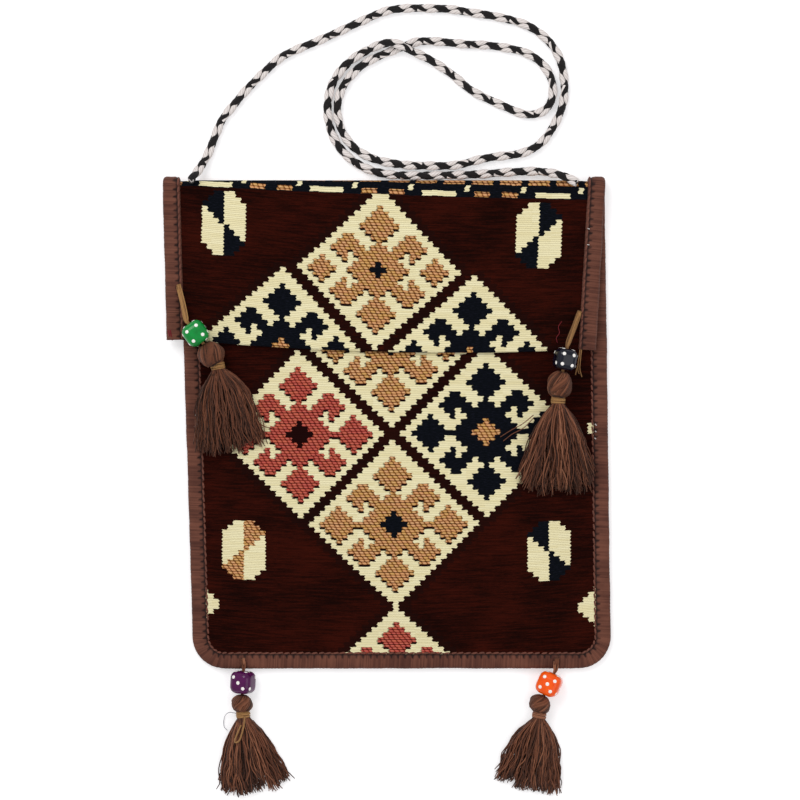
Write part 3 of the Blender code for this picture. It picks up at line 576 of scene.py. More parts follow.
def binding_material():
    """Thread wrapped closely over the edge. UV: metres along the edge, metres round the section."""
    material, graph, shader = new_material("wrapped_thread", roughness=0.70, sheen=0.05,
                                           specular=0.20)
    along, around = graph.uv("wrap")
    lean = along + around * 0.06
    strand_noise = graph.noise(graph.vector(lean * 240.0, around * 14.0, 0.0), 1.0, 2.0)
    thread = (lean / WRAP_PITCH + strand_noise * 0.8).fract()
    ridge = 1.0 - ((thread - 0.5) * 2.0).math("POWER", 2.0)
    each = graph.random(graph.vector((lean / WRAP_PITCH).floor(), 3.0, 3.0))
    patch = graph.noise(graph.vector(along * 90.0, around * 60.0, 5.0), 1.0, 3.0)
    # Random tone for each turn and in patches, and lighter on each thread's crest: painted light,
    # with painted shade between the threads
    shade = each * 0.30 + patch * 0.75 + ridge * 0.22
    colour = graph.mix(shade.smooth(0.35, 1.0), srgb(72, 37, 28), srgb(116, 70, 54))
    # Painted shade in the slits between the stitches and in the seam's groove
    slit_shade_share, unused = graph.uv("slit_shade")
    colour = graph.mix(slit_shade_share, colour, srgb(28, 11, 9))
    graph.feed(shader.inputs["Base Color"], colour)
    bump(graph, shader, ridge + strand_noise * 0.4, 0.00014, 0.8)
    return material


def cord_material():
    """The strap's strands. UV 'thread': once round the strand from its outer side, and metres
    along. UV 'tint': x is 0 for white strands, 0.5 for plain black and 1 for black with a
    white yarn in it."""
    material, graph, shader = new_material("twisted_cord", roughness=0.85, sheen=0.08,
                                           specular=0.25)
    around, along = graph.uv("thread")
    tint, unused = graph.uv("tint")
    plies = (around * 5.0 + along / 0.0048).fract()
    groove = (plies - 0.5).abs() * 2.0
    fuzz = graph.noise(graph.vector(around * 9.0, along * 1400.0, tint * 9.0), 1.0, 3.0)
    long_fuzz = graph.noise(graph.vector(around * 14.0, along * 260.0, 2.0), 1.0, 2.0)
    # White strands with painted shade in the grooves between plies, and random fuzz
    white = graph.mix(groove.smooth(0.55, 1.0) * 0.45 + long_fuzz * 0.25, CORD_WHITE,
                      srgb(186, 174, 172))
    black = graph.mix(fuzz.smooth(0.35, 0.75) * 0.8, CORD_BLACK, srgb(34, 30, 31))
    outer = (around + 0.5).fract() - 0.5
    part = (along / CORD_LEAD + 0.40).fract().below(0.34)
    streak = (outer - 0.12).abs().below(0.075) * tint.above(0.75) * part
    colour = graph.mix(tint.above(0.25) * (1.0 - streak), white, black)
    graph.feed(shader.inputs["Base Color"], colour)
    bump(graph, shader, (1.0 - groove * groove) * 0.9 + fuzz * 0.35 + long_fuzz * 0.3,
         0.00030, 0.9)
    return material


def bead_material(name, base, deep):
    """Polished bead with slightly uneven colour."""
    material, graph, shader = new_material(name, roughness=0.16, coat=0.05, specular=0.28)
    place = graph.add("ShaderNodeTexCoord").outputs["Object"]
    cloud = graph.noise(place, 260.0, 3.0)
    colour = graph.mix(cloud.smooth(0.35, 0.8) * 0.5, base, deep)
    graph.feed(shader.inputs["Base Color"], colour)
    fine = graph.noise(place, 900.0, 2.0)
    bump(graph, shader, cloud * 0.7 + fine * 0.15, 0.00012, 0.35)
    return material


def dot_material():
    material, graph, shader = new_material("bead_dots", roughness=0.30, coat=0.4, specular=0.5)
    place = graph.add("ShaderNodeTexCoord").outputs["Object"]
    cloud = graph.noise(place, 1500.0, 2.0)
    colour = graph.mix(cloud * 0.25, srgb(250, 247, 242), srgb(226, 218, 210))
    graph.feed(shader.inputs["Base Color"], colour)
    bump(graph, shader, cloud, 0.00004, 0.3)
    return material


# Meshes

class Mesh:
    """Collects rings and sheets of points into one mesh, with UV maps for each face corner."""

    def __init__(self, *maps):
        self.maps = maps
        self.points = []
        self.faces = []
        self.corners = {name: [] for name in maps}
        self.count = 0

    def add(self, points, faces, **uv):
        """points (n, 3), faces (m, 4), and for each map the corners' values (m, 4, 2)."""
        self.points.append(np.asarray(points, float).reshape(-1, 3))
        self.faces.append(np.asarray(faces, int) + self.count)
        self.count += len(self.points[-1])
        for name in self.maps:
            self.corners[name].append(np.asarray(uv[name], float).reshape(-1, 2))

    def add_tube(self, rings, along, thread=None, extra=None):
        """Rings of points (m, n, 3) with a cap at each end. along is metres at each ring."""
        m, n = rings.shape[:2]
        along = np.asarray(along)
        low = np.arange(n) / n
        values = {self.maps[0]: corner_map(low, low + 1.0 / n, along)}
        if len(self.maps) > 1:
            each = np.full(n, thread or 0.0)
            values[self.maps[1]] = corner_map(each, each, along / max(1e-9, along[-1]))
        if extra is not None:
            values.update(extra)
        # Caps as fans of quads round a middle point
        start, end = rings[0].mean(0), rings[-1].mean(0)
        points = np.concatenate([rings.reshape(-1, 3), [start, end]])
        cap = []
        for k in range(0, n, 2):
            second, third = (k + 1) % n, (k + 2) % n
            cap.append((m * n, third, second, k))
            cap.append((m * n + 1, (m - 1) * n + k, (m - 1) * n + second, (m - 1) * n + third))
        cap = np.array(cap)
        faces = np.concatenate([tube_faces(m, n), cap])
        for name in values:
            filler = np.repeat(values[name][:1, :1], len(cap), axis=0)
            filler = np.repeat(filler, 4, axis=1)
            values[name] = np.concatenate([values[name], filler])
        self.add(points, faces, **values)

    def build(self, name, material):
        points = np.concatenate(self.points)
        faces = np.concatenate(self.faces)
        mesh = bpy.data.meshes.new(name)
        mesh.from_pydata(points.tolist(), [], faces.tolist())
        for map_name in self.maps:
            layer = mesh.uv_layers.new(name=map_name)
            values = np.concatenate(self.corners[map_name]).astype(np.float32)
            layer.data.foreach_set("uv", values.ravel())
        mesh.shade_smooth()
        mesh.materials.append(material)
        mesh.update()
        return add_object(name, mesh)


def add_object(name, data):
    made = bpy.data.objects.new(name, data)
    bpy.context.scene.collection.objects.link(made)
    return made


def photo_place(px, py):
    """The place on the bag that lies under a pixel of the photograph."""
    return (px - ORIGIN_PX[0]) * PIXEL, (ORIGIN_PX[1] - py) * PIXEL


def corner_map(low, high, along):
    """A map for the quads of a tube: x from low to high round it, and y along it."""
    start, end = along[:-1, None], along[1:, None]
    pairs = [np.stack(np.broadcast_arrays(x, y), -1)
             for x, y in ((low, start), (high, start), (high, end), (low, end))]
    return np.stack(pairs, axis=2).reshape(-1, 4, 2)


def tube_faces(m, n):
    """The quads between m rings of n points."""
    index = np.arange(m * n).reshape(m, n)
    after = np.roll(index, -1, axis=1)
    return np.stack([index[:-1], after[:-1], after[1:], index[1:]], axis=-1).reshape(-1, 4)


def unit(vectors):
    return vectors / np.maximum(1e-12, np.linalg.norm(vectors, axis=-1, keepdims=True))


def tube_frames(paths):
    """Two directions across each path (t, m, 3) that turn as little as they can."""
    tangents = unit(np.gradient(paths, axis=1))
    first = np.zeros_like(tangents)
    guess = np.cross(tangents[:, 0], UP)
    weak = np.linalg.norm(guess, axis=-1) < 0.1
    guess[weak] = np.cross(tangents[weak, 0], np.array([1.0, 0.0, 0.0]))
    first[:, 0] = unit(guess)
    for step in range(1, paths.shape[1]):
        t = tangents[:, step]
        carried = first[:, step - 1] - (first[:, step - 1] * t).sum(-1, keepdims=True) * t
        first[:, step] = unit(carried)
    second = np.cross(tangents, first)
    return tangents, first, second


def add_threads(mesh, paths, radius, sides, tints):
    """Thin round threads along paths (t, m, 3). radius is one number or one for each point."""
    paths = np.asarray(paths, float)
    tangents, first, second = tube_frames(paths)
    radius = np.broadcast_to(np.asarray(radius, float), paths.shape[:2])[..., None, None]
    angle = (2 * np.pi * np.arange(sides) / sides)[:, None]
    rings = (paths[:, :, None] + first[:, :, None] * (np.cos(angle) * radius)
             + second[:, :, None] * (np.sin(angle) * radius))
    steps = np.linalg.norm(np.diff(paths, axis=1), axis=-1)
    along = np.concatenate([np.zeros((len(paths), 1)), np.cumsum(steps, axis=1)], axis=1)
    for ring, distance, tint in zip(rings, along, tints):
        mesh.add_tube(ring, distance, thread=float(tint))


def smooth_line(points, count):
    """Evenly spaced points on a smooth curve through the given ones."""
    points = np.asarray(points, float)
    padded = np.concatenate([[2 * points[0] - points[1]], points, [2 * points[-1] - points[-2]]])
    dense = []
    for before, start, end, after in zip(padded, padded[1:], padded[2:], padded[3:]):
        for t in np.arange(16) / 16:
            dense.append(0.5 * (2 * start + (end - before) * t
                                + (2 * before - 5 * start + 4 * end - after) * t ** 2
                                + (3 * start - before - 3 * end + after) * t ** 3))
    dense.append(points[-1])
    return even_line(np.array(dense), count)[0]


def even_line(line, count, *others):
    """A line made again with evenly spaced points, and other values made to match."""
    travelled = np.concatenate([[0], np.cumsum(np.linalg.norm(np.diff(line, axis=0), axis=1))])
    at = np.linspace(0, travelled[-1], count)
    return (*(values_at(at, travelled, values) for values in (line, *others)), at)


def values_at(distances, known, values):
    """Values (n, k), given at known distances along a line, at other distances."""
    return np.stack([np.interp(distances, known, column) for column in values.T], 1)


def waves(x, y, seed, length, count=7):
    """A gentle uneven surface from -1 to 1, from a few crossing waves."""
    rng = np.random.default_rng(seed)
    total = np.zeros_like(np.asarray(x, float) + np.asarray(y, float))
    for _ in range(count):
        heading = rng.uniform(0, 2 * np.pi)
        size = length * rng.uniform(0.6, 1.8)
        phase = rng.uniform(0, 2 * np.pi)
        total += np.sin(2 * np.pi * (x * np.cos(heading) + y * np.sin(heading)) / size + phase)
    return total / count


def smooth_step(value):
    clamped = np.clip(value, 0.0, 1.0)
    return clamped * clamped * (3.0 - 2.0 * clamped)


# Outline

def between(y, y_start, x_start, y_end, x_end):
    return x_start + (x_end - x_start) * (y - y_start) / (y_end - y_start)


def body_left(y):
    above_hem = np.maximum(0.0, (y - HEM_LEFT_Y) / (FOLD_Y - HEM_LEFT_Y))
    straight = between(y, BOTTOM_Y, BODY_LEFT_BOTTOM_X, HEM_LEFT_Y, BODY_LEFT_HEM_X)
    at_fold = between(FOLD_Y, BOTTOM_Y, BODY_LEFT_BOTTOM_X, HEM_LEFT_Y, BODY_LEFT_HEM_X)
    return straight + (FOLD_LEFT_X - at_fold) * above_hem ** 2


def body_right(y):
    return between(y, BOTTOM_Y, BODY_RIGHT_BOTTOM_X, FOLD_Y, FOLD_RIGHT_X)


def flap_left(y):
    return between(y, HEM_LEFT_Y, FLAP_LEFT_HEM_X, FOLD_Y, FOLD_LEFT_X)


def flap_right(y):
    return between(y, HEM_RIGHT_Y, FLAP_RIGHT_HEM_X, FOLD_Y, FOLD_RIGHT_X)


def hem_height(share):
    left, middle, right = HEM_LEFT_Y, HEM_MIDDLE_Y, HEM_RIGHT_Y
    return (left * (1 - share) * (1 - 2 * share) + middle * 4 * share * (1 - share)
            + right * share * (2 * share - 1))


def body_limits(y):
    """Left and right ends of the body's cloth, which runs a little way under the binding."""
    corner_y = BOTTOM_Y + CORNER_RADIUS
    inner = CORNER_RADIUS - CLOTH_INSET
    reach = np.sqrt(np.maximum(0.0, inner ** 2 - np.maximum(0.0, corner_y - y) ** 2))
    left = np.where(y >= corner_y, body_left(y) + CLOTH_INSET,
                    body_left(corner_y) + CORNER_RADIUS - reach)
    right = np.where(y >= corner_y, body_right(y) - CLOTH_INSET,
                     body_right(corner_y) - CORNER_RADIUS + reach)
    return left, right


def closed_sheet(name, middle, uv, material):
    """A cloth with two faces and a rim, from its middle surface (rows, columns, 3)."""
    rows, columns = middle.shape[:2]
    along = np.gradient(middle, axis=0)
    across = np.gradient(middle, axis=1)
    normal = unit(np.cross(across, along))
    outer = middle + normal * (CLOTH_THICKNESS / 2)
    inner = middle - normal * (CLOTH_THICKNESS / 2)
    index = np.arange(rows * columns).reshape(rows, columns)
    quads = np.stack([index[:-1, :-1], index[:-1, 1:], index[1:, 1:], index[1:, :-1]], -1)
    quads = quads.reshape(-1, 4)
    back = quads[:, ::-1] + rows * columns
    edge = np.concatenate([index[0, :], index[1:, -1], index[-1, -2::-1], index[-2:0:-1, 0]])
    following = np.roll(edge, -1)
    rim = np.stack([following, edge, edge + rows * columns, following + rows * columns], -1)
    points = np.concatenate([outer.reshape(-1, 3), inner.reshape(-1, 3)])
    faces = np.concatenate([quads, back, rim])
    flat_uv = np.concatenate([uv.reshape(-1, 2), uv.reshape(-1, 2)])
    mesh = Mesh("cloth")
    mesh.add(points, faces, cloth=flat_uv[faces])
    return mesh.build(name, material)


PATTERN_PLACES = {"front": (FRONT_ACROSS, FRONT_DOWN, FRONT_MIDDLE_PX),
                  "flap": (FLAP_ACROSS, FLAP_DOWN, FLAP_MIDDLE_PX)}


def cells_at(cloth, x, y):
    """Cells across and down at a place on the front or the flap, from the fitted powers."""
    across, down, middle_px = PATTERN_PLACES[cloth]
    px = (ORIGIN_PX[0] + x / PIXEL - middle_px[0]) / 100.0
    py = (ORIGIN_PX[1] - y / PIXEL - middle_px[1]) / 100.0
    terms = (1.0, px, py, px * px, px * py, py * py, px * py * py, py ** 3, px * px * py)
    return [sum(power * term for power, term in zip(powers, terms)) for powers in (across, down)]


def make_front(material):
    columns, rows = 150, 160
    share = np.linspace(0, 1, columns)[None, :]
    bottom = BOTTOM_Y + CLOTH_INSET
    top = FOLD_Y - MOUTH_DROP
    y = (bottom + (top - bottom) * np.linspace(0, 1, rows) ** 1.15)[:, None] + 0 * share
    left, right = body_limits(y)
    x = left + (right - left) * share
    rise = (smooth_step((x - left - 0.004) / 0.022) * smooth_step((right - x - 0.004) / 0.022)
            * smooth_step((y - bottom - 0.004) / 0.022))
    z = FRONT_EDGE_Z + (FRONT_Z - FRONT_EDGE_Z) * rise
    z = z + 0.00016 * rise * waves(x, y, 3, 0.055) + 0.00010 * waves(x, y, 4, 0.018)
    # Rows run from the bottom up, so the outer face is on top
    piece = closed_sheet("woven_front", np.stack([x, y, z], -1),
                         np.stack(cells_at("front", x, y), -1), material)
    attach(piece, "bag")
    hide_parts("front_cloth")


def make_back_and_flap(material):
    columns = 150
    share = np.linspace(0, 1, columns)
    rows = []

    def side_rise(x, left, right):
        return smooth_step((x - left) / 0.012) * smooth_step((right - x) / 0.012)

    flap_rows = 60
    for drop in np.linspace(1, 0, flap_rows):
        y = FOLD_Y + (hem_height(share) - FOLD_Y) * drop
        left, right = flap_left(y) + CLOTH_INSET, flap_right(y) - CLOTH_INSET
        x = left + (right - left) * share
        rise = side_rise(x, left, right)
        z = FLAP_EDGE_Z + (FLAP_Z - FLAP_EDGE_Z) * rise
        z = z + rise * (0.00014 * waves(x, y, 5, 0.06) + 0.00016)
        z = z + 0.0004 * smooth_step((drop - 0.8) / 0.2) * rise * (0.6 + waves(x, y, 6, 0.08))
        rows.append((x, y, z, *cells_at("flap", x, y)))
    outer_radius = (FLAP_Z - BACK_Z) / 2 + CLOTH_THICKNESS / 2
    fold_x = x
    radius = (z - BACK_Z) / 2
    fold_rows = 14
    for step in range(1, fold_rows):
        turn = math.pi * step / fold_rows
        # Up to a sixth of a turn the rows follow the photograph, and then the cloth's length
        seen_turn = min(turn, math.pi / 3)
        u, w = cells_at("flap", fold_x, FOLD_Y + outer_radius * math.sin(seen_turn))
        w = w - outer_radius * (turn - seen_turn) / CELL_Y
        rows.append((fold_x, FOLD_Y + radius * math.sin(turn),
                     BACK_Z + radius * (1 + math.cos(turn)), u, w))
    back_start = w - outer_radius * math.pi / fold_rows / CELL_Y
    top_y = FOLD_Y + outer_radius * math.sin(math.pi / 3)
    bottom = BOTTOM_Y + CLOTH_INSET
    for y_value in FOLD_Y + (bottom - FOLD_Y) * (1 - (1 - np.linspace(0, 1, 110)) ** 1.15):
        y = np.full(columns, y_value)
        left, right = body_limits(y)
        x = left + (right - left) * share
        rows.append((x, y, np.full(columns, BACK_Z), cells_at("flap", x, top_y)[0],
                     back_start - (FOLD_Y - y) / CELL_Y))
    cloth = np.array(rows).transpose(0, 2, 1)
    piece = closed_sheet("woven_back_and_flap", cloth[..., :3], cloth[..., 3:], material)
    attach(piece, "bag")
    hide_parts("back_and_flap_cloth")


# Edge binding

PROFILE_CORNER = 0.0022
SLIT_DEPTH = 0.00060
SEAM_DEPTH = 0.00035
MOST_RAISED = 0.00006
LEAST_Z = 0.00005


def binding_line(spacing):
    """Evenly spaced places at the middle of the binding, and the way to the cloth at each."""
    places, inwards = [], []

    def side_run(edge, side, start_y, end_y, height, steps):
        for y in np.linspace(start_y, end_y, steps + 1):
            places.append((float(edge(y)) + side * BINDING_WIDTH / 2, y, height))
            inwards.append((side, 0.0, 0.0))

    def fold_turn(x, side, to_flap):
        radius = (FLAP_BINDING_Z - BODY_BINDING_Z) / 2
        middle_z = (FLAP_BINDING_Z + BODY_BINDING_Z) / 2
        turns = np.linspace(-math.pi / 2, math.pi / 2, 17)
        for turn in (turns if to_flap else turns[::-1]):
            places.append((x, FOLD_Y + BINDING_OVERHANG + radius * math.cos(turn),
                           middle_z + radius * math.sin(turn)))
            inwards.append((side, 0.0, 0.0))

    def corner(centre_x, start, end):
        corner_y = BOTTOM_Y + CORNER_RADIUS
        radius = CORNER_RADIUS - BINDING_WIDTH / 2
        for angle in np.radians(np.linspace(start, end, 17)):
            places.append((centre_x + radius * math.cos(angle),
                           corner_y + radius * math.sin(angle), BODY_BINDING_Z))
            inwards.append((-math.cos(angle), -math.sin(angle), 0.0))

    corner_y = BOTTOM_Y + CORNER_RADIUS
    margin = 0.004
    side_run(flap_left, 1.0, HEM_LEFT_Y, FOLD_Y - margin, FLAP_BINDING_Z, 12)
    fold_turn(FOLD_LEFT_X + BINDING_WIDTH / 2, 1.0, False)
    side_run(body_left, 1.0, FOLD_Y - margin, corner_y + margin, BODY_BINDING_Z, 40)
    corner(float(body_left(corner_y)) + CORNER_RADIUS, 180, 270)
    corner(float(body_right(corner_y)) - CORNER_RADIUS, 270, 360)
    side_run(body_right, -1.0, corner_y + margin, FOLD_Y - margin, BODY_BINDING_Z, 30)
    fold_turn(FOLD_RIGHT_X - BINDING_WIDTH / 2, -1.0, True)
    side_run(flap_right, -1.0, FOLD_Y - margin, HEM_RIGHT_Y, FLAP_BINDING_Z, 12)
    line = np.array(places)
    length = np.linalg.norm(np.diff(line, axis=0), axis=1).sum()
    line, inward, at = even_line(line, int(length / spacing), np.array(inwards))
    return line, unit(inward), at


def binding_frames(spacing):
    line, inward, at = binding_line(spacing)
    ahead = unit(np.gradient(line, axis=0))
    face_out = unit(np.cross(ahead, inward))
    across = unit(np.cross(face_out, ahead))
    return line, across, face_out, at


def rounded_profile(count):
    """Points, outward directions and distances round a section with rounded corners, from the
    middle of the side that faces the cloth and round by the top."""
    half = np.array([BINDING_WIDTH, BINDING_THICKNESS]) / 2 - PROFILE_CORNER
    arc = math.pi * PROFILE_CORNER / 2
    total = 4 * (half.sum() + arc)
    distances = np.arange(count) * total / count
    points, outwards = [], []
    for distance in distances:
        side, rest = 0, distance + half[1]
        while rest > 2 * half[1 - side % 2] + arc:
            rest -= 2 * half[1 - side % 2] + arc
            side += 1
        straight = 2 * half[1 - side % 2]
        angle = math.pi / 2 * (side + max(0.0, rest - straight) / arc)
        out = np.array([math.cos(angle), math.sin(angle)])
        corner = half * ((1, 1), (-1, 1), (-1, -1), (1, -1))[side % 4]
        to_go = max(0.0, straight - rest)
        points.append(corner + out * PROFILE_CORNER - np.array([-out[1], out[0]]) * to_go)
        outwards.append(out)
    return np.array(points), np.array(outwards), distances


STITCH_PITCH = 0.0039
STITCH_INSET = 0.00385
STITCH_Z = 0.00170
STITCH_ARCH = 0.00042


def make_binding(material):
    line, across, face_out, at = binding_frames(0.00046)
    section, outward, girth = rounded_profile(30)
    s = at[:, None]
    x = section[None, :, 0]
    rng = np.random.default_rng(21)

    def uneven_along(stops, low, high):
        """Random values at even stops along the edge, and all between them."""
        return np.interp(at, np.linspace(0, at[-1], stops), rng.uniform(low, high, stops))[:, None]

    phase = ((s + uneven_along(400, -0.0004, 0.0004)) / STITCH_PITCH) % 1.0
    # Narrow slits between the stitches on the inner part of both faces
    inner_part = smooth_step((x - 0.0004) / 0.0010) * smooth_step((0.0040 - x) / 0.0004)
    slit_width = 0.05 + 0.21 * np.clip((x - 0.0006) / 0.0024, 0, 1)
    slit = np.exp(-((phase - 0.5) / slit_width) ** 2) * inner_part * uneven_along(240, 0.45, 1.0)
    seam = np.exp(-((x - 0.0031) / 0.00035) ** 2)
    ridges = 0.00005 * np.sin(2 * np.pi * s / 0.0019 + 3 * waves(s, x * 0, 22, 0.02))
    uneven = 0.00016 * waves(s, girth[None, :] * 1.0, 23, 0.016) + 0.00012 * waves(s, x, 24, 0.006)
    edge = 0.00026 * waves(s, x * 0, 25, 0.030) * np.clip(-outward[None, :, 0], 0, 1) ** 2
    push = np.minimum(ridges + uneven, MOST_RAISED) + edge - SLIT_DEPTH * slit - SEAM_DEPTH * seam
    shape = section[None] + outward[None] * push[..., None]
    rings = (line[:, None] + across[:, None] * shape[..., :1] + face_out[:, None] * shape[..., 1:])
    rings[..., 2] = np.maximum(rings[..., 2], LEAST_Z)
    m, n = rings.shape[:2]
    # How much painted shade the slits and the seam's groove get, passed on in a UV map
    slit_shade = np.clip(slit * 1.5 + seam * 0.8, 0, 1)
    flat_slit_shade = np.repeat(slit_shade.reshape(-1)[tube_faces(m, n)][..., None], 2, axis=-1)
    high = np.append(girth[1:], girth[-1] + girth[1])
    wrap = corner_map(girth, high, at)[..., ::-1]
    mesh = Mesh("wrap", "slit_shade")
    mesh.add_tube(rings, at, extra={"wrap": wrap, "slit_shade": flat_slit_shade})
    piece = mesh.build("wrapped_edge", material)
    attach(piece, "bag")
    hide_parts("edge_binding")


def make_chain_stitch(material):
    """A line of small leaning stitches along the inner side of the binding, on both faces."""
    mesh = Mesh("thread", "tint")
    line, across, face_out, at = binding_frames(0.00030)
    rng = np.random.default_rng(31)
    count = int(at[-1] / STITCH_PITCH)
    for face in (1.0, -1.0):
        paths = []
        for k in range(count):
            middle = (k + 0.5) * STITCH_PITCH + rng.uniform(-0.0002, 0.0002)
            if middle < 0.002 or middle > at[-1] - 0.002:
                continue
            length = STITCH_PITCH * rng.uniform(0.82, 0.98)
            steps = np.linspace(-0.5, 0.5, 9)
            s = middle + steps * length
            place, side, up = (values_at(s, at, values) for values in (line, across, face_out))
            offset = STITCH_INSET + 0.00028 * steps * 2 + rng.uniform(-0.0001, 0.0001)
            height = STITCH_Z + STITCH_ARCH * np.sqrt(np.maximum(0, 1 - (steps * 2) ** 2))
            paths.append(place + side * offset[:, None] + up * face * height[:, None])
        paths = np.array(paths)
        profile = 0.00022 + 0.00038 * np.sqrt(np.maximum(0.0, 1 - np.linspace(-1, 1, 9) ** 2))
        add_threads(mesh, paths, np.tile(profile, (len(paths), 1)), 7,
                    rng.uniform(0.3, 0.85, len(paths)))
    piece = mesh.build("edge_stitches", material)
    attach(piece, "bag")


# Strap

WHITE_STRAND = 0.00136
BLACK_STRAND = 0.00138
# How far the strands run from the strap's middle, and how much they change that as they cross
STRAND_ORBIT = 0.00084
STRAND_SWAY = 0.00042


def make_strap(material):
    """Two black strands that wind one way and two white ones the other way, plaited so that
    black lies over white and white over black by turns."""
    count = 1100
    route = smooth_line(CORD_ROUTE, count)
    tangents, first, second = (values[0] for values in tube_frames(route[None]))
    at = np.concatenate([[0], np.cumsum(np.linalg.norm(np.diff(route, axis=0), axis=1))])
    sides = 12
    mesh = Mesh("thread", "tint")
    slack = at + 0.0016 * waves(at, at * 0, 41, 0.06)
    roll = 0.35 * waves(at, at * 0, 44, 0.16) - 0.75 * math.pi
    over = np.cos(4 * np.pi * (slack - CORD_LEAD / 8) / CORD_LEAD)
    strands = ((1, 0.0, BLACK_STRAND, 0.5), (1, math.pi, BLACK_STRAND, 1.0),
               (-1, math.pi / 2, WHITE_STRAND, 0.0), (-1, 3 * math.pi / 2, WHITE_STRAND, 0.0))
    for way_round, start, radius, tint in strands:
        turn = start + roll + way_round * 2 * np.pi * slack / CORD_LEAD
        orbit = STRAND_ORBIT + way_round * STRAND_SWAY * over
        out = np.cos(turn)[:, None] * first + np.sin(turn)[:, None] * second
        centre = route + out * orbit[:, None]
        way = unit(np.gradient(centre, axis=0))
        side = unit(np.cross(way, out))
        outward = np.cross(side, way)
        angle = 2 * np.pi * np.arange(sides) / sides
        lumps = 1 + 0.06 * waves(at, at * 0, 42 + int(tint * 4) + int(start), 0.010)
        size = (radius * lumps)[:, None, None]
        wide = size * (1.14 + way_round * 0.30 * over)[:, None, None]
        rings = (centre[:, None] + outward[:, None] * (np.cos(angle)[None, :, None] * size)
                 + side[:, None] * (np.sin(angle)[None, :, None] * wide))
        mesh.add_tube(rings, at, thread=tint)
    piece = mesh.build("twisted_strap", material)
    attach(piece, "bag")
    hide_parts("strap_cord")
    path = smooth_line(CORD_ROUTE, 160)


# Tassels

BEAD_ROUNDING = 0.62
BEAD_CELLS = 14
HOLE_RADIUS = 0.0019
HOLE_DEPTH = 0.0011
DOT_RADIUS = 0.00112
DOT_PLACE = 0.50
DOT_SIDES = 16
DOT_RINGS = 5
# Each face of a bead: its two axes with the one that it faces, and the way along that. A
# tassel's dots are in this order too: the ends, the sides, and then the top and the bottom.
BEAD_FACES = (((1, 2, 0), 1), ((1, 2, 0), -1), ((2, 0, 1), 1), ((2, 0, 1), -1),
              ((0, 1, 2), 1), ((0, 1, 2), -1))
CORNER_PIPS = [(-1, -1), (-1, 1), (1, -1), (1, 1)]
PIPS = {1: [(0, 0)], 2: [(-1, -1), (1, 1)], 3: [(-1, -1), (0, 0), (1, 1)], 4: CORNER_PIPS,
        5: CORNER_PIPS + [(0, 0)], 6: [(-1, -1), (-1, 0), (-1, 1), (1, -1), (1, 0), (1, 1)]}


def bead_surface(points, half, rounding):
    """Points on a cube's surface moved to the surface of a rounded cube."""
    core = np.clip(points, -(half - rounding), half - rounding)
    return core + unit(points - core) * rounding


def bead_turn(tassel):
    """Directions along the bead's thread, across it and up through the bead, as rows."""
    lean, roll = math.radians(tassel["lean"]), math.radians(tassel["roll"])
    forward = np.array([math.sin(lean), -math.cos(lean), 0.0])
    sideways = np.cross(UP, forward)
    return np.stack([forward, sideways * math.cos(roll) + UP * math.sin(roll),
                     UP * math.cos(roll) - sideways * math.sin(roll)])


def make_bead(name, tassel, material):
    half = tassel["side"] / 2
    rounding = half * BEAD_ROUNDING
    line = np.tan(np.linspace(-math.pi / 4, math.pi / 4, BEAD_CELLS + 1)) * half
    a, b = np.meshgrid(line, line, indexing="ij")
    mesh = Mesh("face")
    turn = bead_turn(tassel)
    for axes, sign in BEAD_FACES:
        grid = np.zeros((*a.shape, 3))
        grid[..., axes[0]] = a if sign > 0 else b
        grid[..., axes[1]] = b if sign > 0 else a
        grid[..., axes[2]] = half * sign
        grid = bead_surface(grid, half, rounding)
        if axes[2] == 0:
            # Round the hole through which the thread passes
            away = np.hypot(grid[..., 1], grid[..., 2])
            dip = smooth_step(1 - (away - HOLE_RADIUS * 0.5) / HOLE_RADIUS)
            grid[..., 0] -= sign * HOLE_DEPTH * dip
        index = np.arange(a.size).reshape(a.shape)
        quads = np.stack([index[:-1, :-1], index[1:, :-1], index[1:, 1:], index[:-1, 1:]], -1)
        quads = quads.reshape(-1, 4)
        mesh.add(grid.reshape(-1, 3) @ turn + np.array(tassel["bead"]), quads,
                 face=np.zeros((len(quads), 4, 2)))
    piece = mesh.build(name + "_glass_bead", material)
    weld = piece.modifiers.new("join the faces", "WELD")
    weld.merge_threshold = 0.00001
    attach(piece, name + "_tassel")
    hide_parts(name + "_bead")


def dot_quads():
    """A dot's faces: rings of quads, and then a fan at its middle."""
    first = np.arange(DOT_SIDES)
    after = np.roll(first, -1)
    quads = []
    for ring in range(DOT_RINGS - 1):
        inner, outer = 1 + ring * DOT_SIDES, 1 + (ring + 1) * DOT_SIDES
        quads.extend(zip(inner + first, outer + first, outer + after, inner + after))
    quads.extend((0, 1 + k, 1 + (k + 1) % DOT_SIDES, 1 + (k + 2) % DOT_SIDES)
                 for k in range(0, DOT_SIDES, 2))
    return np.array(quads)


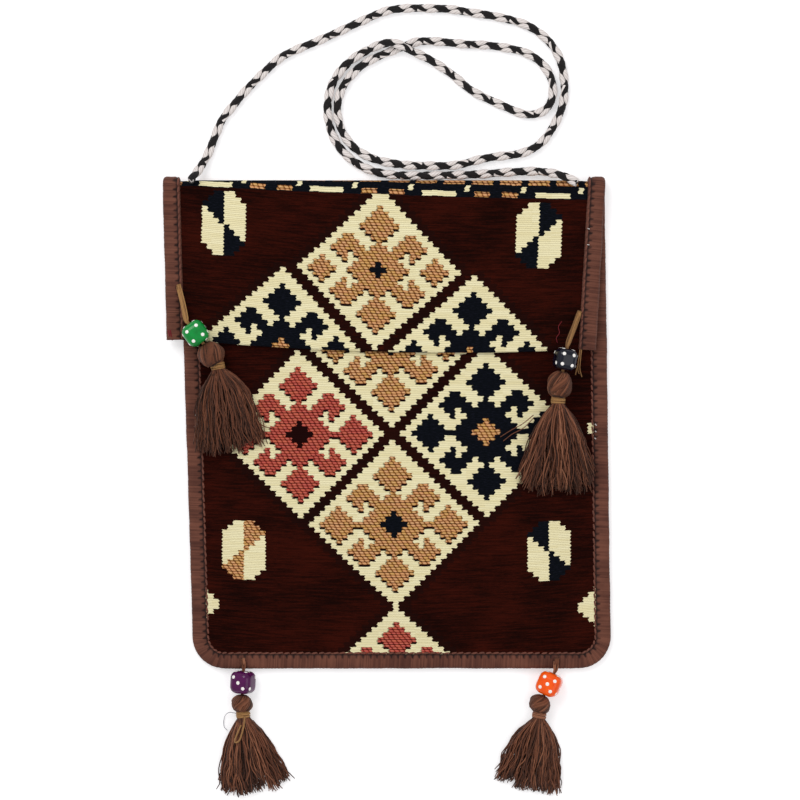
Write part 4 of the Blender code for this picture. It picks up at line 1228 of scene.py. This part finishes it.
def make_bead_dots(name, tassel, material):
    """Slightly raised round dots on all of the bead's faces."""
    half = tassel["side"] / 2
    rounding = half * BEAD_ROUNDING
    turn = bead_turn(tassel)
    around = 2 * np.pi * np.arange(DOT_SIDES) / DOT_SIDES
    size = (DOT_RADIUS * np.arange(1, DOT_RINGS + 1) / DOT_RINGS)[:, None]
    mesh = Mesh("face")
    for (axes, sign), number in zip(BEAD_FACES, tassel["dots"]):
        quads = dot_quads() if sign > 0 else dot_quads()[:, ::-1]
        for shift_a, shift_b in PIPS[number]:
            middle = np.zeros(3)
            middle[axes[0]] = shift_a * half * DOT_PLACE
            middle[axes[1]] = shift_b * half * DOT_PLACE
            middle[axes[2]] = half * sign
            if axes[2] == 0 and (shift_a, shift_b) == (0, 0):
                # The thread's hole is there
                continue
            spots = np.tile(middle, (DOT_RINGS, DOT_SIDES, 1))
            spots[..., axes[0]] += size * np.cos(around)
            spots[..., axes[1]] += size * np.sin(around)
            points = np.concatenate([middle[None], spots.reshape(-1, 3)])
            distance = np.linalg.norm(points - middle, axis=1) / DOT_RADIUS
            lift = 0.00012 * np.sqrt(np.maximum(0, 1 - distance ** 2)) - 0.00003
            surface = bead_surface(points, half, rounding)
            outwards = unit(surface - np.clip(points, -(half - rounding), half - rounding))
            mesh.add((surface + outwards * lift[:, None]) @ turn + np.array(tassel["bead"]),
                     quads, face=np.zeros((len(quads), 4, 2)))
    dots_piece = mesh.build(name + "_bead_dots", material)
    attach(dots_piece, name + "_tassel")


FLAT = np.array([1, 1, 0])
NECK_RADIUS = 0.0030
NECK_HEIGHT = 0.0041
NECK_LENGTH = 0.0030
SKIRT_START = 0.0020
SKIRT_LOW = 0.0004
OUTER_THREADS = 84
INNER_THREADS = 330
HEAD_STEPS = 7
SKIRT_STEPS = 13
CLUMPS = 26
# Bundles over the head: where each starts round it, how far it turns, and its threads
HEAD_BUNDLES = ((0.4, 1.9, 6), (2.7, 1.9, 6), (4.6, 1.7, 5))


def tassel_axes(tassel):
    """Directions and places that the tassel's threads follow."""
    lean = math.radians(tassel["lean"])
    forward = np.array([math.sin(lean), -math.cos(lean), 0.0])
    half_length, half_width = tassel["head"]
    base = tassel["base"] + GAP
    head = (np.array(tassel["bead"])
            + forward * (tassel["side"] / 2 + HEAD_BEHIND_BEAD + half_length))
    head[2] = base + half_width
    neck = np.array([*tassel["neck"], base + NECK_HEIGHT])
    middle = np.array([*tassel["middle"], 0.0])
    skirt_way = unit((middle - neck) * FLAT)
    return SimpleNamespace(
        forward=forward, side=np.cross(forward, UP), head=head, half_length=half_length,
        half_width=half_width, neck=neck, middle=middle, end=np.array([*tassel["end"], 0.0]),
        base=base, skirt_way=skirt_way, skirt_side=np.cross(skirt_way, UP))


def head_core(axes):
    """Rings round the head's solid core."""
    around = (2 * np.pi * np.arange(28) / 28)[:, None]
    rings = []
    for angle in np.radians(np.linspace(4, 150, 16)):
        centre = axes.head - axes.forward * axes.half_length * 0.93 * math.cos(angle)
        size = (axes.half_width - 0.0006) * math.sin(angle)
        rings.append(centre + size * (np.cos(around) * axes.side + np.sin(around) * UP))
    return np.array(rings)[:, ::-1]


def over_head(axes, phi, outer, rng):
    """One thread's path over the head, or inside it, and through the neck."""
    path = []
    for share in np.linspace(0, 1, HEAD_STEPS):
        if outer:
            angle = math.radians(12 + 116 * share)
            turned = phi + 0.5 * (angle - 1.2)
            centre = axes.head - axes.forward * axes.half_length * math.cos(angle)
            size = axes.half_width * math.sin(angle)
        else:
            turned = phi
            centre = axes.head + (axes.neck - axes.head) * (0.3 + 0.6 * share)
            size = NECK_RADIUS * 0.7
        path.append(centre + size * (math.sin(turned) * UP - math.cos(turned) * axes.side))
    for share in (0.0, 1.0):
        centre = axes.neck + axes.skirt_way * (share - 0.5) * NECK_LENGTH
        size = NECK_RADIUS * (1.0 if outer else rng.uniform(0.2, 0.85))
        path.append(centre + size * (math.sin(phi) * UP - math.cos(phi) * axes.skirt_side))
    return path


def down_skirt(tassel, axes, target, stray, level, reach, waver):
    """The rest of that path. target is from -1 to 1 across the skirt, and level from 0 to 1
    up through it."""
    edge = math.sqrt(max(0.0, 1 - min(1.0, abs(target)) ** 2))
    start = axes.neck + axes.skirt_way * SKIRT_START
    path = []
    for step in range(1, SKIRT_STEPS + 1):
        share = step / SKIRT_STEPS * reach
        centre = ((1 - share) ** 2 * start + 2 * share * (1 - share) * axes.middle
                  + share ** 2 * axes.end)
        way = unit(2 * (1 - share) * (axes.middle - start) * FLAT
                   + 2 * share * (axes.end - axes.middle))
        across = -np.cross(way, UP)
        opening = (tassel["shoulder"] * math.sin(math.pi / 2 * min(1.0, share / 0.42))
                   + (1 - tassel["shoulder"]) * min(1.0, share))
        width = NECK_RADIUS + (tassel["spread"] - NECK_RADIUS) * opening
        loose = 0.0004 + 0.0016 * share
        wave = loose * (math.sin(9 * share + 3 * waver[0]) * waver[1]
                        + 0.6 * math.sin(21 * share + 3 * waver[2]) * waver[3])
        place = centre + across * (width * (target + stray * share ** 3) + wave)
        place = place + way * (0.0004 * math.sin(17 * share + 3 * waver[4]))
        top = 0.0086 * (1 - share) + 0.0056 * math.sin(math.pi * min(1, share)) + 0.0034 * share
        height = (top * (0.35 + 0.65 * edge) - SKIRT_LOW) * (0.06 + 0.88 * level)
        height = height + 0.0004 * share * math.sin(15 * share + 3 * waver[5])
        lift_low = 0.0016 * (1 - smooth_step(share * 3))
        place[2] = axes.base + SKIRT_LOW + lift_low + max(0.0, height)
        path.append(place)
    return path


def make_tassel_threads(name, tassel, material):
    rng = np.random.default_rng(tassel["seed"])
    axes = tassel_axes(tassel)
    mesh = Mesh("thread", "tint")
    core = head_core(axes)
    # The core takes the darkest tint: painted shade inside the head
    mesh.add_tube(core, np.linspace(0, 2 * axes.half_length, len(core)), thread=0.1)

    # Threads that run over the head, through the neck and into the skirt
    clump_side = np.sort(rng.uniform(-1, 1, CLUMPS))
    clump_length = rng.uniform(0.93, 1.03, CLUMPS)
    clump_tint = rng.uniform(-0.16, 0.16, CLUMPS)
    paths, tints = [], []
    for k in range(OUTER_THREADS + INNER_THREADS):
        outer = k < OUTER_THREADS
        phi = 2 * np.pi * (k + rng.uniform(-0.3, 0.3)) / OUTER_THREADS if outer else (
            rng.uniform(0, 2 * np.pi))
        # Place across the skirt, height in it, and where the thread ends
        spread = math.cos(phi) if outer else rng.uniform(-1, 1)
        clump = int(np.argmin(np.abs(clump_side - spread)))
        target = 0.30 * clump_side[clump] + 0.70 * spread + rng.normal(0, 0.045)
        target = float(np.clip(target, -1.08, 1.08))
        level = 0.5 + 0.5 * math.sin(phi) if outer else rng.uniform(0, 1)
        ragged = 1.0 - 0.16 * rng.uniform(0, 1) ** 2.5
        reach = clump_length[clump] * ragged * (1.0 - tassel["corner"] * abs(target) ** 3)
        waver = rng.uniform(-1, 1, 6)
        stray = rng.normal(0, 0.10)
        paths.append(over_head(axes, phi, outer, rng)
                     + down_skirt(tassel, axes, target, stray, level, reach, waver))
        # Each thread's tone is random, and darker the lower it lies in the skirt: painted shade
        tint = 0.10 + 0.78 * rng.uniform(0, 1) * (0.45 + 0.55 * level) + clump_tint[clump]
        tints.append(float(np.clip(tint, 0, 1)))
    paths = np.array(paths)
    thick = 0.00029 if axes.base > 0.001 else 0.00034
    radius = np.full(paths.shape[:2], thick)
    radius[:, -1] = thick * 0.75
    for chosen, sides in ((slice(0, OUTER_THREADS), 5), (slice(OUTER_THREADS, None), 4)):
        add_threads(mesh, paths[chosen], radius[chosen], sides, tints[chosen])

    # Bundles laid over the head, slanting across it
    bundle_paths, bundle_tints = [], []
    for start, turn, threads in HEAD_BUNDLES:
        for j in range(threads):
            path = []
            for share in np.linspace(0, 1, 14):
                angle = math.radians(18 + 104 * share)
                turned = start + turn * share + (j - threads / 2) * 0.115
                lift = 0.0005 * math.sin(math.pi * share)
                centre = axes.head - axes.forward * axes.half_length * math.cos(angle)
                size = (axes.half_width + lift) * math.sin(angle)
                path.append(centre + size * (math.sin(turned) * UP - math.cos(turned) * axes.side))
            bundle_paths.append(path)
            bundle_tints.append(rng.uniform(0.35, 0.80))
    add_threads(mesh, np.array(bundle_paths), 0.00042, 6, bundle_tints)
    piece = mesh.build(name + "_tassel_strands", material)
    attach(piece, name + "_tassel")
    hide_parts(name + "_tassel_threads")


def make_wrap(name, tassel, material):
    """Thread wound round the neck, in the material given: golden, or on the orange tassel its own
    thread.
    """
    rng = np.random.default_rng(tassel["seed"] + 50)
    axes = tassel_axes(tassel)
    turns, steps = 6, 26
    thread = 0.00040
    angles = np.linspace(0, 2 * np.pi * turns, turns * steps)
    shift = (angles / angles[-1] - 0.5) * 0.0034
    shift = shift + 0.00025 * np.sin(angles * 0.37 + rng.uniform(0, 6))
    size = NECK_RADIUS + thread * 1.25 + 0.00025 * np.cos((shift / 0.0017) * math.pi / 2)
    path = (axes.neck + axes.skirt_way * shift[:, None]
            + axes.skirt_side * (np.cos(angles) * size)[:, None]
            + UP * (np.sin(angles) * size)[:, None])
    mesh = Mesh("thread", "tint")
    add_threads(mesh, path[None], thread, 7, [0.95])
    piece = mesh.build(name + "_neck_winding", material)
    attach(piece, name + "_tassel")
    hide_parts(name + "_tassel_neck_wrap")


def make_loop(name, tassel, material):
    """Parallel threads from the stitch at the edge through the bead to the head."""
    rng = np.random.default_rng(tassel["seed"] + 80)
    axes = tassel_axes(tassel)
    forward, head = axes.forward, axes.head
    root = np.array(tassel["root"])
    bead = np.array(tassel["bead"])
    half = tassel["side"] / 2
    enter = bead - forward * (half + 0.0003)
    leave = bead + forward * half
    inside_head = head - forward * (tassel["head"][0] - 0.0020)
    before = enter - forward * 0.0020
    line = smooth_line([root, root + (before - root) * 0.5, before, enter, bead, leave,
                        inside_head], 40)
    way = unit(np.gradient(line, axis=0))
    side = unit(np.cross(way, UP))
    up = np.cross(side, way)
    share = np.linspace(0, 1, len(line))
    reach = np.linalg.norm(line - bead, axis=1)
    squeeze = 0.45 + 0.55 * smooth_step((reach - half) / 0.004)
    paths, tints = [], []
    places = [(-1.0, 0.0), (-0.5, 0.15), (0.0, -0.05), (0.5, 0.2), (1.0, 0.0), (-0.25, -0.5),
              (0.3, -0.5)]
    for a, b in places:
        sway = 0.12 * np.sin(share * 9 + rng.uniform(0, 6))
        paths.append(line + side * ((a + sway) * 0.00115 * squeeze)[:, None]
                     + up * (b * 0.0006 * squeeze)[:, None])
        tints.append(rng.uniform(0.3, 1.0))
    mesh = Mesh("thread", "tint")
    add_threads(mesh, np.array(paths), 0.00036, 6, tints)
    # The stitch at the edge: a few short turns over the cloth
    stitches = []
    start = line[0]
    for k in range(4):
        offset = side[0] * (k - 1.5) * 0.0006
        stitches.append([start + offset + way[0] * s + up[0] * h
                         for s, h in ((-0.0018, -0.0008), (-0.0010, 0.0003), (0.0002, 0.0006),
                                      (0.0014, 0.0003), (0.0022, -0.0004))])
    add_threads(mesh, np.array(stitches), 0.00038, 6, rng.uniform(0.3, 1.0, 4))
    piece = mesh.build(name + "_loop_strands", material)
    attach(piece, name + "_tassel")
    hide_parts(name + "_tassel_loop")


# Loose thread ends: body, material, thickness, and pixels with heights in millimetres
LOOSE_THREADS = (
    ("bag", "red", 0.00022, ((561.5, 321.5, 10.4), (558, 327, 10.8), (559, 333, 10.6),
                             (556, 338, 10.8), (557, 343, 10.4))),
    ("bag", "red", 0.00050, ((168.4, 329, 10.2), (170, 335, 10.9), (170.6, 339.5, 10))),
    ("bag", "red", 0.00050, ((170.6, 330, 10.9), (172, 336, 10.9), (173, 340.2, 10))),
    ("bag", "gold", 0.00030, ((580, 346, 10), (578.5, 358, 10.2), (577, 366, 9.4),
                              (575, 375, 9))),
    ("bag", "gold", 0.00030, ((581.5, 346, 10), (580, 360, 10.2), (579.5, 369, 9.4),
                              (581.5, 377, 9))),
    ("bag", "gold", 0.00028, ((580.5, 346, 9.8), (578, 362, 10), (577.5, 370, 9.3),
                              (579, 374, 9))),
    ("bag", "cord", 0.00018, ((198, 410, 6), (195.5, 416, 6.2), (196.5, 422, 6.2),
                              (195, 427, 6))),
    ("bag", "cord", 0.00030, ((196.6, 433, 6), (197.6, 435, 6.2))),
    ("bag", "cord", 0.00030, ((595, 424, 6), (596.6, 425.5, 6.2))),
    ("bag", "cord", 0.00030, ((595, 431, 6), (596.4, 432, 6.2))),
    ("bag", "cord", 0.00030, ((594.6, 438, 6), (596, 439, 6.2))),
    ("bag", "cord", 0.00026, ((587, 229, 11.3), (589.2, 229.6, 11.4))),
    ("bag", "cord", 0.00026, ((586.5, 245, 11.3), (588.8, 245.4, 11.4))),
    ("blue_tassel", "tassel", 0.00024, ((533, 415, 13), (522, 424, 11),
                                        (511, 430, 9.4), (500, 437, 9))),
    ("blue_tassel", "tassel", 0.00024, ((533, 418, 13), (523, 428, 11),
                                        (512, 434, 9.4), (503, 441, 9))),
    ("green_tassel", "tassel", 0.00024, ((247, 410, 13), (256, 420, 11),
                                         (264, 426, 9.6), (272, 428, 9))),
    ("purple_tassel", "gold", 0.00050, ((245, 716, 8.4), (244, 726, 12),
                                        (240, 739, 12.6), (235.5, 741, 12.4),
                                        (236.5, 736, 12.6), (241.5, 724, 12))),
    ("purple_tassel", "grey", 0.00018, ((238, 714, 5), (229, 713, 3),
                                        (224, 718, 1), (223.5, 727, 0.6),
                                        (227, 731, 2.4))),
)


def make_loose_threads():
    """A few thread ends that stand out of the stitching and the tassels."""
    for number, (body, colour, radius, stops) in enumerate(LOOSE_THREADS):
        line = [(*photo_place(px, py), height / 1000) for px, py, height in stops]
        mesh = Mesh("thread", "tint")
        tint = 0.0 if colour == "cord" else 0.6
        add_threads(mesh, smooth_line(line, 6 * len(line))[None], radius, 6, [tint])
        piece = mesh.build("loose_thread_%d" % number, MATERIALS[colour])
        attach(piece, body)


# Camera, light and floor

FLOOR_REACH = 3.0
FLOOR_Z = -0.0002


def make_camera():
    data = bpy.data.cameras.new("photo_camera")
    data.sensor_width = SENSOR_WIDTH
    data.lens = SENSOR_WIDTH * (CAMERA_HEIGHT - MEASURED_Z) / FRAME_WIDTH
    data.clip_end = 20.0
    camera = add_object("photo_camera", data)
    camera.location = (*photo_place(PHOTO_CENTRE_PX, PHOTO_CENTRE_PX), CAMERA_HEIGHT)
    bpy.context.scene.camera = camera


def make_floor():
    mesh = bpy.data.meshes.new("floor")
    mesh.from_pydata([(x * FLOOR_REACH, y * FLOOR_REACH, FLOOR_Z)
                      for x, y in ((-1, -1), (1, -1), (1, 1), (-1, 1))], [], [(0, 1, 2, 3)])
    floor = add_object("floor", mesh)
    material, graph, shader = new_material("floor_paper", specular=0.1)
    shader.inputs["Base Color"].default_value = (0.80, 0.79, 0.80, 1.0)
    glow = graph.add("ShaderNodeEmission")
    glow.inputs["Color"].default_value = (1.0, 0.995, 1.0, 1.0)
    glow.inputs["Strength"].default_value = 0.42
    total = graph.add("ShaderNodeAddShader")
    graph.feed(total.inputs[0], shader.outputs[0])
    graph.feed(total.inputs[1], glow.outputs[0])
    rays = graph.add("ShaderNodeLightPath")
    seen = graph.math("MAXIMUM", rays.outputs["Is Camera Ray"], rays.outputs["Is Glossy Ray"])
    choose = graph.add("ShaderNodeMixShader")
    graph.feed(choose.inputs[0], seen)
    graph.feed(choose.inputs[1], shader.outputs[0])
    graph.feed(choose.inputs[2], total.outputs[0])
    graph.feed(graph.tree.nodes["Material Output"].inputs[0], choose.outputs[0])
    mesh.materials.append(material)


def make_light():
    world = bpy.data.worlds.new("studio")
    bpy.context.scene.world = world
    world.use_nodes = True
    background = world.node_tree.nodes["Background"]
    background.inputs["Color"].default_value = (1.0, 1.0, 1.0, 1.0)
    background.inputs["Strength"].default_value = 0.62
    for name, place, size, power in (("key_light", (-0.55, 0.75, 1.25), 0.9, 9.0),
                                     ("fill_light", (0.9, -0.3, 1.3), 1.2, 4.0)):
        data = bpy.data.lights.new(name, "AREA")
        data.shape = "DISK"
        data.size = size
        data.energy = power
        light = add_object(name, data)
        light.location = place
        light.rotation_euler = (-Vector(place)).to_track_quat("-Z", "Y").to_euler()
    bpy.context.scene.view_settings.view_transform = "Standard"


make_camera()

MATERIALS = {
    "front": woven_material(
        "tapestry_front", ("rose", "navy"),
        ((-27.46, 57.31, True, "tan"), (28.32, 57.88, False, "navy")),
        ((33.65, 4.0, 69.46), (-32.01, 4.0, 68.33), (35.1, 3.0, 34.81)),
        FRONT_MIDDLE_W, FRONT_APART, 0.980, 0.0),
    "flap": woven_material(
        "tapestry_flap_and_back", ("navy", "navy"),
        ((-27.83, 10.23, False, "navy"), (27.88, 10.09, True, "navy"),
         (-27.95, 57.4, True, "tan"), (29.2, 57.6, False, "navy")),
        ((33.4, 4.0, 68.4), (-31.8, 4.0, 67.7)),
        FLAP_MIDDLE_W, FLAP_APART, 1.0, 1.0),
    "binding": binding_material(),
    "stitch": thread_material("stitch_thread", STITCH, srgb(98, 60, 50), roughness=0.7),
    "cord": cord_material(),
    "tassel": thread_material("tassel_thread", THREAD, THREAD_DARK, THREAD_LIGHT),
    "gold": thread_material("golden_thread", srgb(172, 128, 78), srgb(104, 70, 42)),
    "red": thread_material("red_thread", srgb(128, 22, 34), srgb(70, 8, 14)),
    "grey": thread_material("grey_thread", srgb(150, 150, 158), srgb(90, 90, 98)),
    "dots": dot_material(),
}
BEAD_COLOURS = {"green": (srgb(6, 140, 58), srgb(2, 92, 34)),
                "blue": (srgb(12, 14, 30), srgb(5, 6, 16)),
                "purple": (srgb(82, 8, 76), srgb(46, 3, 46)),
                "orange": (srgb(252, 92, 4), srgb(224, 56, 0))}

make_back_and_flap(MATERIALS["flap"])
make_front(MATERIALS["front"])
make_strap(MATERIALS["cord"])
make_binding(MATERIALS["binding"])
make_chain_stitch(MATERIALS["stitch"])
for tassel_name, plan in TASSELS.items():
    glass = bead_material(tassel_name + "_bead_glass", *BEAD_COLOURS[tassel_name])
    make_bead(tassel_name, plan, glass)
    make_bead_dots(tassel_name, plan, MATERIALS["dots"])
    make_tassel_threads(tassel_name, plan, MATERIALS["tassel"])
    make_wrap(tassel_name, plan, MATERIALS["tassel" if tassel_name == "orange" else "gold"])
    make_loop(tassel_name, plan, MATERIALS["gold" if plan["base"] > 0 else "tassel"])

make_loose_threads()
make_floor()
make_light()

bpy.context.view_layer.update()
